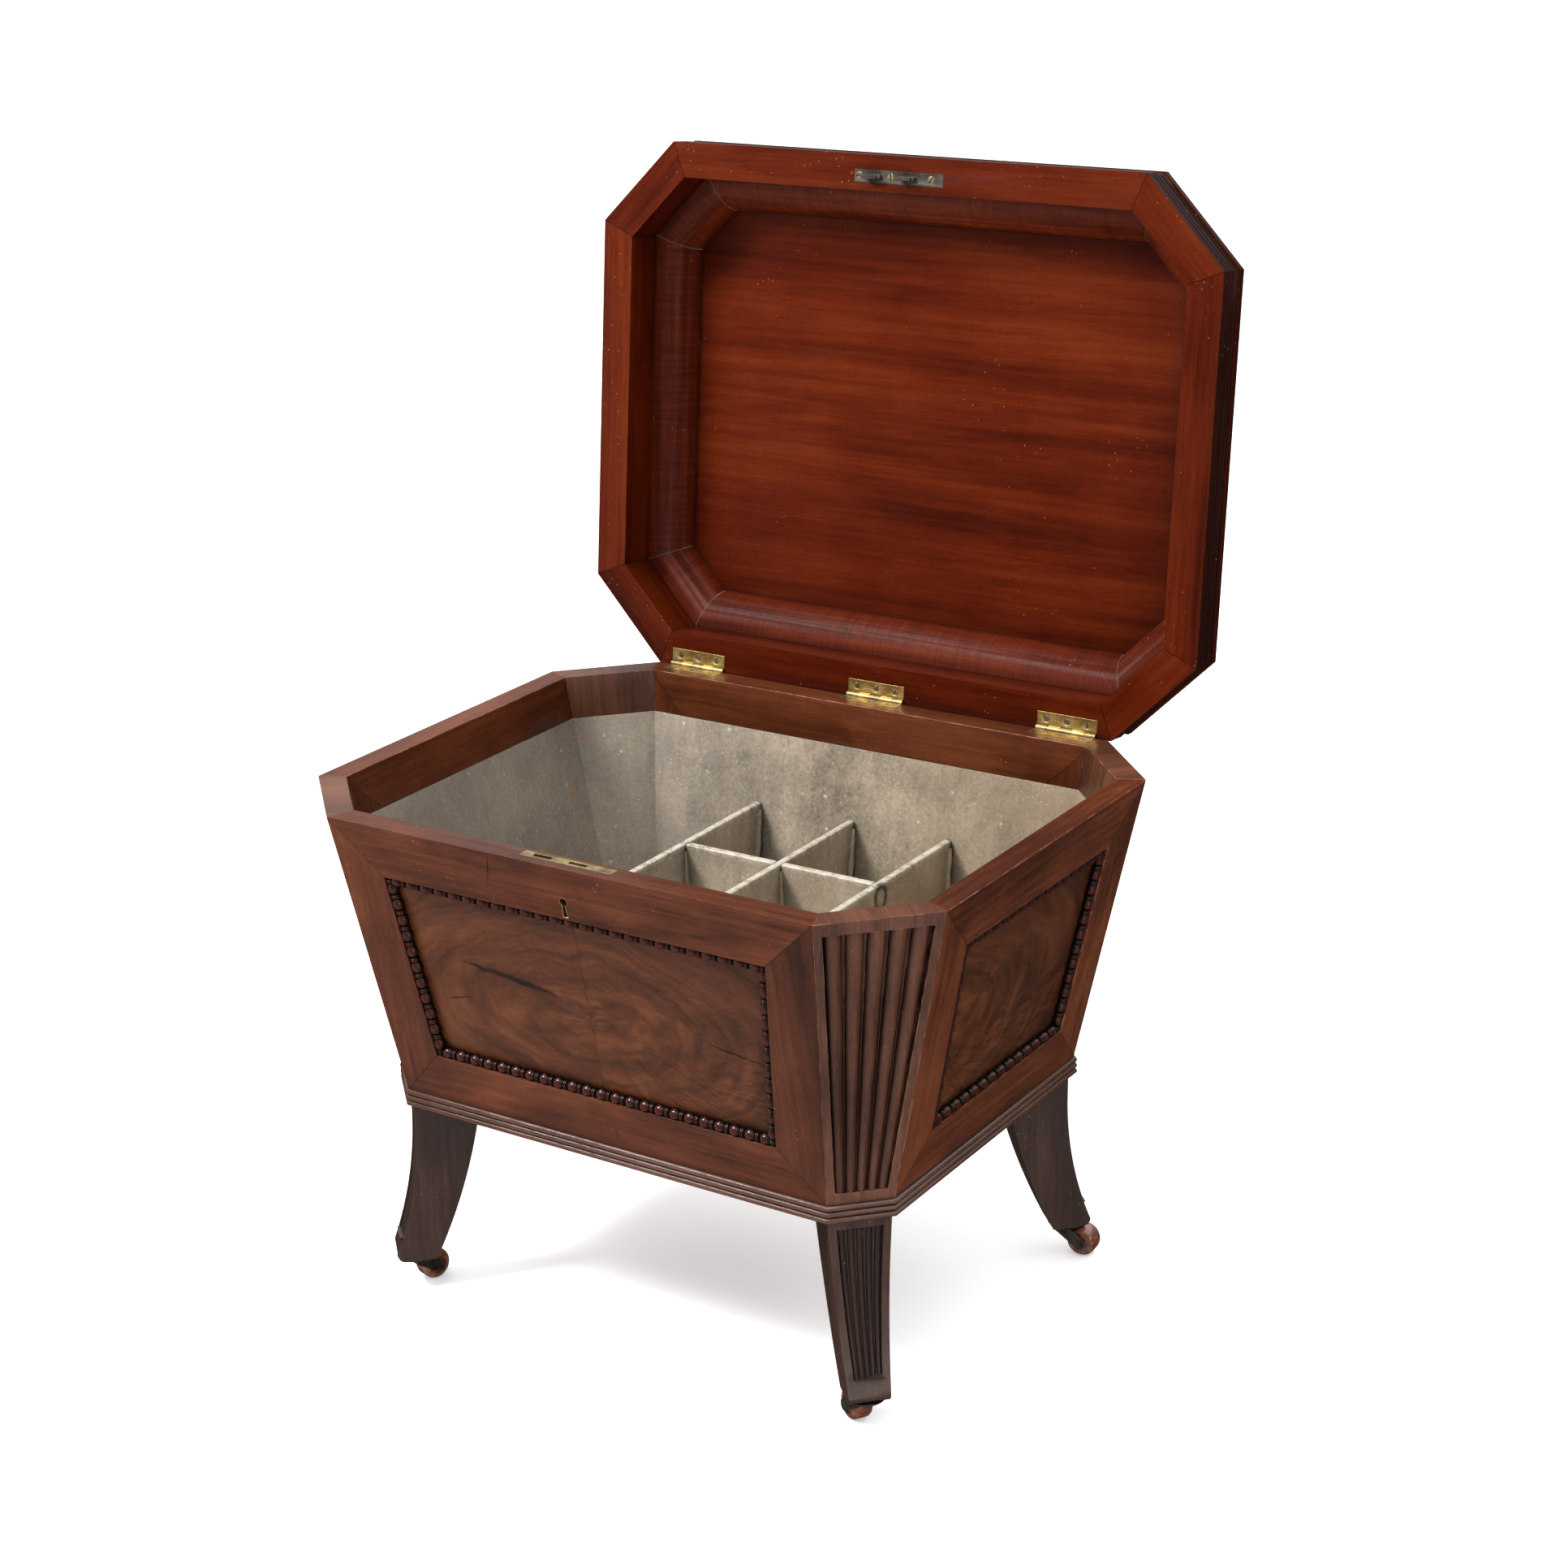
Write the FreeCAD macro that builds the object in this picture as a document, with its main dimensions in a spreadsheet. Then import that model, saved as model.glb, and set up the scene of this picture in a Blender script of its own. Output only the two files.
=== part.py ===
import FreeCAD, Part
import math
import os
import re

import Sketcher
from FreeCAD import Placement, Rotation, Vector

# Mahogany cellarette: a tapered, lead-lined chest with canted corners on four sabre legs
# with casters, its hinged lid standing open. Millimetres, +Z up, front towards -Y, origin
# on the floor in the middle of the chest.

# ---------------------------------------------------------------------------------------
# Driving sizes
# ---------------------------------------------------------------------------------------

SIZES = [
    ("body_width", 700, "outside width at the rim"),
    ("body_depth", 537, "outside depth at the rim"),
    ("rim_cut", 82.5, "canted corner at the rim, along each side"),
    ("base_width", 568, "outside width at the bottom of the boards"),
    ("base_depth", 428, "outside depth at the bottom of the boards"),
    ("base_cut", 44, "canted corner at the bottom, along each side"),
    ("body_height", 295, "height of the boards"),
    ("wall", 26, "board thickness, level"),
    ("board_fit", 0.2, "clearance round the liner and let-in metal"),
    ("lip_height", 43, "bare wood inside, above the lead"),
    ("moulding_height", 18, "base moulding and bottom board"),
    ("moulding_width", 24, "base moulding, from the board face inwards"),
    ("moulding_reed", 3, "how far the base moulding's reeds stand out"),
    ("panel_top_margin", 54, "frame above the sunk panel, down the slope"),
    ("panel_base_margin", 50, "frame below the sunk panel, up the slope"),
    ("panel_side_margin", 51, "frame beside the sunk panel"),
    ("panel_sink", 8, "panel face below the frame face"),
    ("panel_thickness", 5, "veneered panel"),
    ("panel_fit", 0.1, "clearance round the panel and its bead moulding"),
    ("bead_size", 7.8, "bead moulding, width and height"),
    ("corner_border", 8, "plain border beside the corner reeds"),
    ("corner_reed_top", 13, "top of the corner reeds, below the rim"),
    ("corner_reed_base", 12, "bottom of the corner reeds, above the boards' bottom"),
    ("corner_reed_share", 0.43, "corner reed radius over its pitch"),
    ("corner_reed_sink", 0.03, "corner reed crest below the face, over its pitch"),
    ("liner_thickness", 2, "sheet lead"),
    ("partition_thickness", 8, "lead-covered partition"),
    ("partition_drop", 116, "partition top below the rim"),
    ("partition_pitch", 114, "long partitions, centre to centre"),
    ("partition_cross", 85, "cross partition from the middle"),
    ("partition_fit", 0.2, "clearance at the partition's edges"),
    ("leg_height", 177, "leg, from the moulding to the foot's underside"),
    ("leg_set_back", 5, "leg face behind the canted face"),
    ("leg_top_depth", 64.5, "leg at the top, front to back"),
    ("leg_top_width", 59.6, "leg face at the top"),
    ("leg_straight", 25, "straight length at the top of the leg's face"),
    ("leg_sweep", 27.2, "how far the leg's face sweeps out"),
    ("foot_depth", 38.4, "foot, front to back"),
    ("foot_width", 38.8, "foot face"),
    ("leg_back_radius", 613, "curve of the leg's back"),
    ("foot_round", 8, "rounded toe"),
    ("caster_height", 33, "foot's underside above the floor"),
    ("caster_trail", 19, "wheel axle behind the swivel"),
    ("wheel_radius", 15.5, "caster wheel"),
    ("wheel_width", 22, "caster wheel"),
    ("axle_radius", 2, "wheel axle"),
    ("swivel_radius", 3, "swivel pin"),
    ("running_fit", 0.05, "radial clearance of a pin in its hole"),
    ("plate_radius", 19, "caster plate"),
    ("plate_thickness", 1.6, "caster plate"),
    ("fork_gap", 0.4, "fork below its plate and beside its wheel"),
    ("fork_arm", 2.5, "fork arm thickness"),
    ("fork_boss_radius", 8, "fork round the swivel pin"),
    ("fork_crown", 4.5, "fork crown thickness"),
    ("fork_eye", 6, "fork end round the axle"),
    ("lid_overhang", 4, "lid outside the rim"),
    ("lid_gap", 0.5, "closed lid above the rim"),
    ("lid_open", 96.5, "degrees open, at the hinges' stop"),
    ("lid_frame_width", 35.3, "lid frame, across its face"),
    ("lid_reed", 3.5, "reed radius of the lid edge"),
    ("lid_arris_height", 3, "plain arris below the lid reeds"),
    ("lid_quirk", 2, "lid edge, between the reeds and the hollow"),
    ("lid_hollow", 11, "lid edge, height of the hollow"),
    ("lid_fillet", 7, "lid edge, flat above the hollow"),
    ("lid_hollow_sink", 8, "lid edge, depth of the hollow"),
    ("lid_ledge", 10, "ledge outside the cove"),
    ("lid_cove", 35, "radius of the cove, outside and inside"),
    ("lid_top_thickness", 10, "top board"),
    ("lid_top_overhang", 3, "top board outside the cove"),
    ("hinge_inset", 47.5, "middle of an outer hinge, in from the canted corner"),
    ("hinge_length", 66, "hinge, along the pin"),
    ("hinge_leaf", 16.6, "leaf, from the pin's axis"),
    ("hinge_thickness", 1.9, "leaf thickness"),
    ("hinge_set_back", 2.4, "pin's axis behind the boards"),
    ("hinge_knuckle", 3.4, "knuckle radius"),
    ("hinge_pin", 1.5, "hinge pin radius"),
    ("hinge_knuckle_gap", 0.2, "gap between knuckles"),
    ("hinge_clearance", 0.4, "wood and leaf round the other leaf's knuckle"),
    ("case_gap", 0.56, "wood between the escutcheon and the lock case"),
    ("selvedge_length", 101, "lock plate in the rim"),
    ("selvedge_width", 11, "lock plate in the rim"),
    ("selvedge_thickness", 2, "lock plate in the rim"),
    ("case_length", 82, "lock case"),
    ("case_cover", 0.6, "wood between the lock case and the sunk panel"),
    ("case_wall", 1.2, "lock case sheet"),
    ("bolt_thickness", 5, "sliding bolt"),
    ("bolt_height", 14, "bar of the bolt"),
    ("bolt_length", 62, "bar of the bolt"),
    ("bolt_drop", 20, "top of the bar below the rim"),
    ("bolt_throw", 6, "travel of the bolt"),
    ("bolt_post", 5, "post that carries each nose"),
    ("bolt_nose", 5.5, "nose that enters a link"),
    ("bolt_nose_height", 4, "nose that enters a link"),
    ("bolt_nose_drop", 3.4, "top of the nose below the rim"),
    ("link_left", -28, "left link from the middle"),
    ("link_right", 11, "right link from the middle"),
    ("link_width", 17, "link, along the plate"),
    ("link_thickness", 3.5, "link"),
    ("link_length", 11, "link below the plate"),
    ("link_notch", 7, "notch in the link's side"),
    ("link_slot", 1.5, "slot in the lock plate, round the link"),
    ("strike_length", 101, "strike plate"),
    ("strike_width", 12.6, "strike plate"),
    ("strike_thickness", 1.5, "strike plate"),
    ("key_clear", 1.8, "foot of the escutcheon above the sunk panel"),
    ("key_height", 21.5, "escutcheon height"),
    ("key_radius", 4.7, "escutcheon round top"),
    ("key_foot", 3.6, "escutcheon half width at its foot"),
    ("key_rim", 1.3, "escutcheon brass, width"),
    ("key_depth", 3, "escutcheon brass, depth"),
]

# Sizes that follow from the driving ones.
DERIVED = [
    ("foot_level", "caster_height"),
    ("leg_top", "caster_height+leg_height"),
    ("base_level", "leg_top+moulding_height"),
    ("rim_level", "base_level+body_height"),
    ("side_slope", "(body_width-base_width)/2/body_height"),
    ("front_slope", "(body_depth-base_depth)/2/body_height"),
    ("cut_slope", "(rim_cut-base_cut)/body_height"),
    ("corner_share", "2-sqrt(2)"),
    ("cant_slope", "((body_width+body_depth-base_width-base_depth)/2-rim_cut+base_cut)/sqrt(2)/body_height"),
    ("cant_shift", "((body_width-base_width)-(body_depth-base_depth))/2/sqrt(2)"),
    ("front_run", "body_height*sqrt(1+front_slope*front_slope)"),
    ("side_run", "body_height*sqrt(1+side_slope*side_slope)"),
    ("cant_run", "body_height*sqrt(1+cant_slope*cant_slope)"),
    ("liner_top", "rim_level-lip_height"),
    ("liner_floor", "base_level+board_fit+liner_thickness"),
    ("partition_top", "rim_level-partition_drop"),
    ("partition_base", "liner_floor+partition_fit"),
    ("lid_level", "rim_level+lid_gap"),
    ("hinge_axis_back", "body_depth/2+hinge_set_back"),
    ("hinge_axis_level", "rim_level+lid_gap/2"),
    ("case_thickness", "bolt_thickness+2*board_fit+2*case_wall"),
    ("hinge_spacing", "body_width/2-rim_cut-hinge_inset"),
    ("front_lean", "sqrt(1+front_slope*front_slope)"),
    ("key_reach", "(panel_top_margin-key_clear)*front_slope/front_lean"),
    ("lock_inset", "case_thickness/2+(key_depth+case_gap)*front_lean+key_reach"),
    ("lock_line", "lock_inset-body_depth/2"),
    ("field_depth", "panel_sink+panel_thickness"),
    ("case_floor", "rim_level-(panel_top_margin-field_depth*front_slope)/front_lean+case_cover"),
    ("key_drop", "panel_top_margin-key_clear-key_height/2"),
    ("key_hole_depth", "(lock_inset-key_drop*front_slope/front_lean)/front_lean"),
    ("lid_frame_height", "lid_arris_height+6*lid_reed+lid_quirk+lid_hollow+lid_fillet"),
    ("lid_height", "lid_frame_height+lid_cove"),
    ("leg_toe", "leg_sweep-leg_set_back"),
    ("leg_heel", "leg_toe-foot_depth"),
    ("leg_rear", "-leg_set_back-leg_top_depth"),
    ("leg_chord", "sqrt((leg_rear-leg_heel)^2+leg_height^2)"),
    ("leg_curve", "(leg_rear+leg_heel)/2+leg_height/leg_chord*sqrt(leg_back_radius^2-leg_chord^2/4)"),
]

document = FreeCAD.newDocument("Cellarette")
spec = document.addObject("Spreadsheet::Sheet", "Spec")
for row, (alias, value, note) in enumerate(SIZES, start=1):
    spec.set(f"A{row}", note)
    spec.set(f"B{row}", str(value))
    spec.setAlias(f"B{row}", alias)
document.recompute()

WORDS = {alias: f"Spec.{alias}" for alias, _, _ in SIZES}
WORDS.update({alias: f"Derived.{alias}" for alias, _ in DERIVED})


def bound(words):
    """Turn a formula in plain size names into an expression on the sheet."""
    return re.sub(r"[a-z]+(_[a-z]+)*", lambda word: WORDS.get(word.group(), word.group()), str(words))


derived = document.addObject("App::VarSet", "Derived")
for alias, formula in DERIVED:
    derived.addProperty("App::PropertyFloat", alias)
    derived.setExpression(alias, bound(formula))
    document.recompute()


def number(words):
    """The present value of a formula in size names."""
    value = derived.evalExpression(bound(words))
    return float(getattr(value, "Value", value))


# ---------------------------------------------------------------------------------------
# Makers' tools
# ---------------------------------------------------------------------------------------

ORIGIN = Placement()
nodes = {}


def keep(name, shaped):
    """Register a finished sub-part under its node name."""
    shaped.Label = name
    nodes[name] = shaped
    return shaped


def centre_of_arc(start, end, axis, value):
    """Centre of an arc between two points whose X or Y is given."""
    middle = (start + end) / 2
    run = end - start
    if axis == "X":
        return Vector(value, middle.y - run.x * (value - middle.x) / run.y, 0)
    return Vector(middle.x - run.y * (value - middle.y) / run.x, value, 0)


def outline(name, corners, arcs=None, level=None, at=ORIGIN, body=None):
    """Closed sketch with every corner bound to the sheet.

    corners: (x, y) formulas. arcs: corner index -> (axis, centre formula, turn), where the
    edge that leaves the corner is an arc with that X or Y of its centre, turning left (1)
    or right (-1). level: height formula of a level sketch. at: place of any other sketch.
    """
    arcs = arcs or {}
    if body is None:
        sketch = document.addObject("Sketcher::SketchObject", name)
        sketch.Placement = at
        place = "Placement"
    else:
        sketch = body.newObject("Sketcher::SketchObject", name)
        sketch.AttachmentSupport = [(origin_plane(body, "XY_Plane"), "")]
        sketch.MapMode = "FlatFace"
        sketch.AttachmentOffset = at
        place = "AttachmentOffset"
    if level is not None:
        sketch.setExpression(f"{place}.Base.z", bound(level))
    points = [Vector(number(x), number(y), 0) for x, y in corners]
    count = len(points)
    first = {}
    last = {}
    for index, start in enumerate(points):
        end = points[(index + 1) % count]
        if index in arcs:
            axis, value, turn = arcs[index]
            centre = centre_of_arc(start, end, axis, number(value))
            lead, tail = (start, end) if turn > 0 else (end, start)
            circle = Part.Circle(centre, Vector(0, 0, 1), (start - centre).Length)
            angles = [math.atan2(point.y - centre.y, point.x - centre.x) for point in (lead, tail)]
            sketch.addGeometry(Part.ArcOfCircle(circle, angles[0], angles[1]))
            first[index], last[index] = (1, 2) if turn > 0 else (2, 1)
        else:
            sketch.addGeometry(Part.LineSegment(start, end))
            first[index], last[index] = 1, 2
    for index in range(count):
        follower = (index + 1) % count
        sketch.addConstraint(
            Sketcher.Constraint("Coincident", index, last[index], follower, first[follower])
        )
    for index, (x, y) in enumerate(corners):
        bind(sketch, "DistanceX", index, first[index], x)
        bind(sketch, "DistanceY", index, first[index], y)
    for index, (axis, value, _) in arcs.items():
        bind(sketch, "Distance" + axis, index, 3, value)
    return sketch


def bind(sketch, kind, index, end, words):
    """Hold a point of the sketch at a distance from its origin, bound to the sheet."""
    made = sketch.addConstraint(Sketcher.Constraint(kind, -1, 1, index, end, number(words)))
    sketch.setExpression(f"Constraints[{made}]", bound(words))


def circle_outline(name, centre, radius, at=ORIGIN, level=None, body=None):
    """Sketch of one circle bound to the sheet."""
    x, y = centre
    sketch = outline(name, [], at=at, level=level, body=body)
    circle = Part.Circle(Vector(number(x), number(y), 0), Vector(0, 0, 1), number(radius))
    sketch.addGeometry(circle)
    bind(sketch, "DistanceX", 0, 3, x)
    bind(sketch, "DistanceY", 0, 3, y)
    made = sketch.addConstraint(Sketcher.Constraint("Radius", 0, number(radius)))
    sketch.setExpression(f"Constraints[{made}]", bound(radius))
    return sketch


def origin_plane(body, role):
    return next(plane for plane in body.Origin.OriginFeatures if plane.Role == role)


def new_body(name):
    return document.addObject("PartDesign::Body", name)


def pad(body, sketch, length, both_ways=False):
    made = body.newObject("PartDesign::Pad", "Pad")
    made.Profile = sketch
    made.SideType = "Symmetric" if both_ways else "One side"
    made.setExpression("Length", bound(length))
    return made


def pocket(body, sketch, length, both_ways=False):
    made = body.newObject("PartDesign::Pocket", "Pocket")
    made.Profile = sketch
    made.SideType = "Symmetric" if both_ways else "One side"
    made.setExpression("Length", bound(length))
    return made


def revolve(body, sketch, axis="H_Axis"):
    made = body.newObject("PartDesign::Revolution", "Revolution")
    made.Profile = sketch
    made.ReferenceAxis = (sketch, [axis])
    made.Angle = 360
    return made


def loft(name, sections):
    made = document.addObject("Part::Loft", name)
    made.Sections = sections
    made.Solid = True
    made.Ruled = True
    made.Linearize = True
    return made


def extrusion(name, sketch, length, both_ways=False, backwards=False):
    made = document.addObject("Part::Extrusion", name)
    made.Base = sketch
    made.DirMode = "Normal"
    made.setExpression("LengthFwd", bound(length))
    made.Symmetric = both_ways
    made.Reversed = backwards
    made.Solid = True
    return made


def mitred_ring(name, profile, path):
    """Sweep a moulding profile round a closed path, mitred at the corners."""
    made = document.addObject("Part::Sweep", name)
    made.Sections = [profile]
    made.Spine = (path, [])
    made.Solid = True
    made.Transition = "Right corner"
    made.Linearize = True
    return made


def box(name, low, size, at=ORIGIN):
    """Box with its low corner and its size given as formulas, in the frame of at."""
    made = document.addObject("Part::Box", name)
    for side, words in zip(("Length", "Width", "Height"), size):
        made.setExpression(side, bound(words))
    corner = Vector(*[number(words) for words in low])
    made.Placement = at * Placement(corner, Rotation())
    if at == ORIGIN:
        for axis, words in zip("xyz", low):
            made.setExpression(f"Placement.Base.{axis}", bound(words))
    return made


def cylinder(name, start, direction, radius, length):
    """Cylinder from a point of formulas along a direction."""
    made = document.addObject("Part::Cylinder", name)
    made.setExpression("Radius", bound(radius))
    made.setExpression("Height", bound(length))
    made.Placement.Rotation = Rotation(Vector(0, 0, 1), direction)
    for axis, words in zip("xyz", start):
        made.setExpression(f"Placement.Base.{axis}", bound(words))
    return made


def fuse(name, pieces):
    made = document.addObject("Part::MultiFuse", name)
    made.Shapes = pieces
    made.Refine = True
    return made


def common(name, pieces):
    made = document.addObject("Part::MultiCommon", name)
    made.Shapes = pieces
    return made


def cut(name, base, tools):
    made = document.addObject("Part::Cut", name)
    made.Base = base
    made.Tool = tools[0] if len(tools) == 1 else fuse(name + "_cuts", tools)
    made.Refine = True
    return made


def group(name, pieces):
    made = document.addObject("Part::Compound", name)
    made.Links = pieces
    return made


def octagon(level, inset="0"):
    """Corners of the chest's outline at a height, moved inwards by inset, from front left."""
    fall = f"(rim_level-({level}))"
    across = f"(body_width/2-{fall}*side_slope-({inset}))"
    along = f"(body_depth/2-{fall}*front_slope-({inset}))"
    corner = f"(rim_cut-{fall}*cut_slope-({inset})*corner_share)"
    return [
        (f"{corner}-{across}", f"-{along}"),
        (f"{across}-{corner}", f"-{along}"),
        (across, f"{corner}-{along}"),
        (across, f"{along}-{corner}"),
        (f"{across}-{corner}", along),
        (f"{corner}-{across}", along),
        (f"-{across}", f"{along}-{corner}"),
        (f"-{across}", f"{corner}-{along}"),
    ]


def octagon_block(name, low, high, inset):
    """Tapered octagonal block between two heights, moved inwards by inset: a wedge less its corners."""
    block = document.addObject("Part::Wedge", name + "_wedge")
    block.Placement.Rotation = Rotation(Vector(1, 0, 0), 90)
    for mark, level in (("", low), ("2", high)):
        fall = f"(rim_level-({level}))"
        across = f"(body_width/2-{fall}*side_slope-({inset}))"
        along = f"(body_depth/2-{fall}*front_slope-({inset}))"
        for side, half in (("X", across), ("Z", along)):
            block.setExpression(f"{side}{mark}min", bound("-" + half))
            block.setExpression(f"{side}{mark}max", bound(half))
    block.setExpression("Ymin", bound(low))
    block.setExpression("Ymax", bound(high))
    trims = []
    for corner in CORNERS:
        inwards = corner_place(corner).Rotation.multVec(Vector(0, 0, 1))
        inwards.z = 0
        shift = inwards.normalize() * -number(inset)
        place = Placement(shift, Rotation()) * corner_place(corner)
        low_corner = ("-body_depth/2", "-2*body_height", "0")
        trims.append(
            box(f"{name}_{corner}_trim", low_corner, ("body_depth", "3*body_height", "body_depth"), at=place)
        )
    return cut(name, block, trims)


def octagon_outline(name, level, inset="0", body=None):
    return outline(name, octagon(level, inset), level=level, body=body)


def profile_place(back, level):
    """Place of a moulding profile: its X points out of the front, its Y up."""
    turn = Rotation(Vector(0, -1, 0), Vector(0, 0, 1), Vector(-1, 0, 0), "XYZ")
    return Placement(Vector(0, number(back), number(level)), turn)


def point(x, y, z):
    return Vector(number(x), number(y), number(z))


def face_place(side, half, slope):
    """Frame on a sloping face: X along it, Y up it from the rim's edge, Z outwards."""
    tilt = Rotation(Vector(1, 0, 0), 90 + math.degrees(math.atan(number(slope))))
    turn = Rotation(Vector(0, 0, 1), side)
    start = turn.multVec(Vector(0, -number(half), 0)) + Vector(0, 0, number("rim_level"))
    return Placement(start, turn * tilt)


FRONT, RIGHT, BACK, LEFT = 0, 90, 180, 270
FACES = {
    "front": face_place(FRONT, "body_depth/2", "front_slope"),
    "right": face_place(RIGHT, "body_width/2", "side_slope"),
    "back": face_place(BACK, "body_depth/2", "front_slope"),
    "left": face_place(LEFT, "body_width/2", "side_slope"),
}
# Corner name -> turn of its face from the front, and the way its foot of the face leans.
CORNERS = {
    "front_right": (45, -1),
    "rear_right": (135, 1),
    "rear_left": (225, -1),
    "front_left": (315, 1),
}


def corner_place(name):
    """Frame on a canted face: X along it, Y up it from the middle of the rim, Z outwards."""
    turn, _ = CORNERS[name]
    tilt = Rotation(Vector(1, 0, 0), 90 + math.degrees(math.atan(number("cant_slope"))))
    spin = Rotation(Vector(0, 0, 1), turn)
    out = spin.multVec(Vector(0, -1, 0))
    start = Vector(
        math.copysign(number("body_width/2-rim_cut/2"), out.x),
        math.copysign(number("body_depth/2-rim_cut/2"), out.y),
        number("rim_level"),
    )
    return Placement(start, spin * tilt)


# ---------------------------------------------------------------------------------------
# Chest: eight mitred boards, sunk panels, bead mouldings, reeded corners
# ---------------------------------------------------------------------------------------

RING = [
    "front_board", "front_right_corner", "right_board", "rear_right_corner",
    "back_board", "rear_left_corner", "left_board", "front_left_corner",
]
PANEL_SPANS = {
    "front": ("body_width/2-rim_cut", "side_slope-cut_slope", "front_run"),
    "back": ("body_width/2-rim_cut", "side_slope-cut_slope", "front_run"),
    "right": ("body_depth/2-rim_cut", "front_slope-cut_slope", "side_run"),
    "left": ("body_depth/2-rim_cut", "front_slope-cut_slope", "side_run"),
}


def board_blank(name, edge):
    """One board of the ring, between the mitre planes through two corners."""
    quads = []
    for level in ("base_level", "rim_level"):
        outer = octagon(level)
        inner = octagon(level, "wall")
        after = (edge + 1) % len(outer)
        corners = [outer[edge], outer[after], inner[after], inner[edge]]
        quads.append(outline(f"{name}_{level}", corners, level=level))
    return loft(name + "_blank", quads)


def panel_corners(side, inset):
    """Sunk field of a face, inset by a clearance, in the frame of that face."""
    half, shrink, run = PANEL_SPANS[side]
    top = f"(panel_top_margin+{inset})"
    base = f"({run}-panel_base_margin-{inset})"

    def half_width(down):
        return f"({half}-{down}*({shrink})*body_height/{run}-panel_side_margin-{inset})"

    return [
        (f"-{half_width(base)}", f"-{base}"),
        (half_width(base), f"-{base}"),
        (half_width(top), f"-{top}"),
        (f"-{half_width(top)}", f"-{top}"),
    ]


def sunk_field(side):
    """Cutter for the field that holds the panel and its bead moulding."""
    sketch = outline(side + "_field", panel_corners(side, "0"), at=FACES[side])
    return extrusion(side + "_field_cut", sketch, "field_depth", backwards=True)


def veneered_panel(side):
    """Flat panel at the bottom of the sunk field."""
    body = new_body(side + "_panel")
    sketch = outline(side + "_panel_outline", panel_corners(side, "panel_fit"), body=body)
    pad(body, sketch, "panel_thickness")
    body.Placement = FACES[side] * Placement(Vector(0, 0, -number("field_depth")), Rotation())
    return keep(side + "_panel", body)


def bead_moulding(side):
    """Quarter-round moulding in the corner between the frame's edge and the panel."""
    place = FACES[side]
    path = outline(side + "_bead_path", panel_corners(side, "panel_fit"), at=place)
    foot = f"-({PANEL_SPANS[side][2]}-panel_base_margin-panel_fit)"
    turn = Rotation(Vector(0, 1, 0), Vector(0, 0, 1), Vector(1, 0, 0), "XYZ")
    profile_at = place * Placement(Vector(0, number(foot), 0), turn)
    corners = [
        ("0", "-panel_sink+panel_fit"),
        ("bead_size", "-panel_sink+panel_fit"),
        ("0", "bead_size-panel_sink+panel_fit"),
    ]
    profile = outline(side + "_bead_profile", corners, {1: ("X", "0", 1)}, at=profile_at)
    return keep(side + "_bead_moulding", mitred_ring(side + "_bead_moulding", profile, path))


def corner_field_edge(name, down):
    """Left and right edge of the reeded field at a distance down a canted face."""
    _, lean = CORNERS[name]
    half = f"(rim_cut-{down}*(rim_cut-base_cut)/cant_run)/sqrt(2)-corner_border"
    middle = f"({lean})*{down}*cant_shift/cant_run"
    return f"({middle}-({half}))", f"({middle}+({half}))"


def reeded_corner(name, blank):
    """Canted corner with five tapering reeds that stand in a sunk field."""
    place = corner_place(name)
    sections = []
    for end, down in (("top", "corner_reed_top"), ("base", "(cant_run-corner_reed_base)")):
        left, right = corner_field_edge(name, down)
        pitch = corner_reed_pitch(name, down)
        floor = f"(-{pitch}*(corner_reed_share+corner_reed_sink))"
        corners = [(left, floor)]
        for index in range(REED_COUNT):
            for facet in range(REED_FACETS + 1):
                turn = math.pi * facet / REED_FACETS
                across = f"({index + 0.5}-corner_reed_share*{math.cos(turn):.6f})"
                up = f"corner_reed_share*{math.sin(turn):.6f}"
                corners.append((f"{left}+{pitch}*{across}", f"{floor}+{pitch}*{up}"))
        corners += [(right, floor), (right, "corner_border"), (left, "corner_border")]
        level = place * Placement(Vector(0, -number(down), 0), Rotation(Vector(1, 0, 0), 90))
        sections.append(outline(f"{name}_reeds_{end}", corners, at=level))
    return cut(name + "_corner", blank, [loft(name + "_reed_cut", sections)])


def corner_reed_pitch(name, down):
    left, right = corner_field_edge(name, down)
    return f"(({right}-{left})/{REED_COUNT})"


REED_COUNT = 5
REED_FACETS = 5

liner_room = octagon_block(
    "liner_room", "base_level", "liner_top+board_fit", "wall-liner_thickness-board_fit"
)


def hinge_centres():
    return {"left": "-hinge_spacing", "middle": "0", "right": "hinge_spacing"}


def lock_room():
    """Mortise for the lock's case, its plate and the keyhole behind the escutcheon."""
    plate = box(
        "selvedge_room",
        (
            "-selvedge_length/2-board_fit",
            "lock_line-selvedge_width/2-board_fit",
            "rim_level-selvedge_thickness",
        ),
        ("selvedge_length+2*board_fit", "selvedge_width+2*board_fit", "2*selvedge_thickness"),
    )
    case = box(
        "case_room",
        (
            "-case_length/2-board_fit",
            "lock_line-case_thickness/2-board_fit",
            "case_floor-board_fit",
        ),
        ("case_length+2*board_fit", "case_thickness+2*board_fit", "rim_level-case_floor"),
    )
    brass_outline = key_outline("key_brass_room_outline", "board_fit/2")
    brass = extrusion("key_brass_room", brass_outline, "key_depth", backwards=True)
    key = extrusion("key_hole", key_outline("key_hole_outline", "-key_rim"), "key_hole_depth", backwards=True)
    return [plate, case, brass, key]


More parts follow.
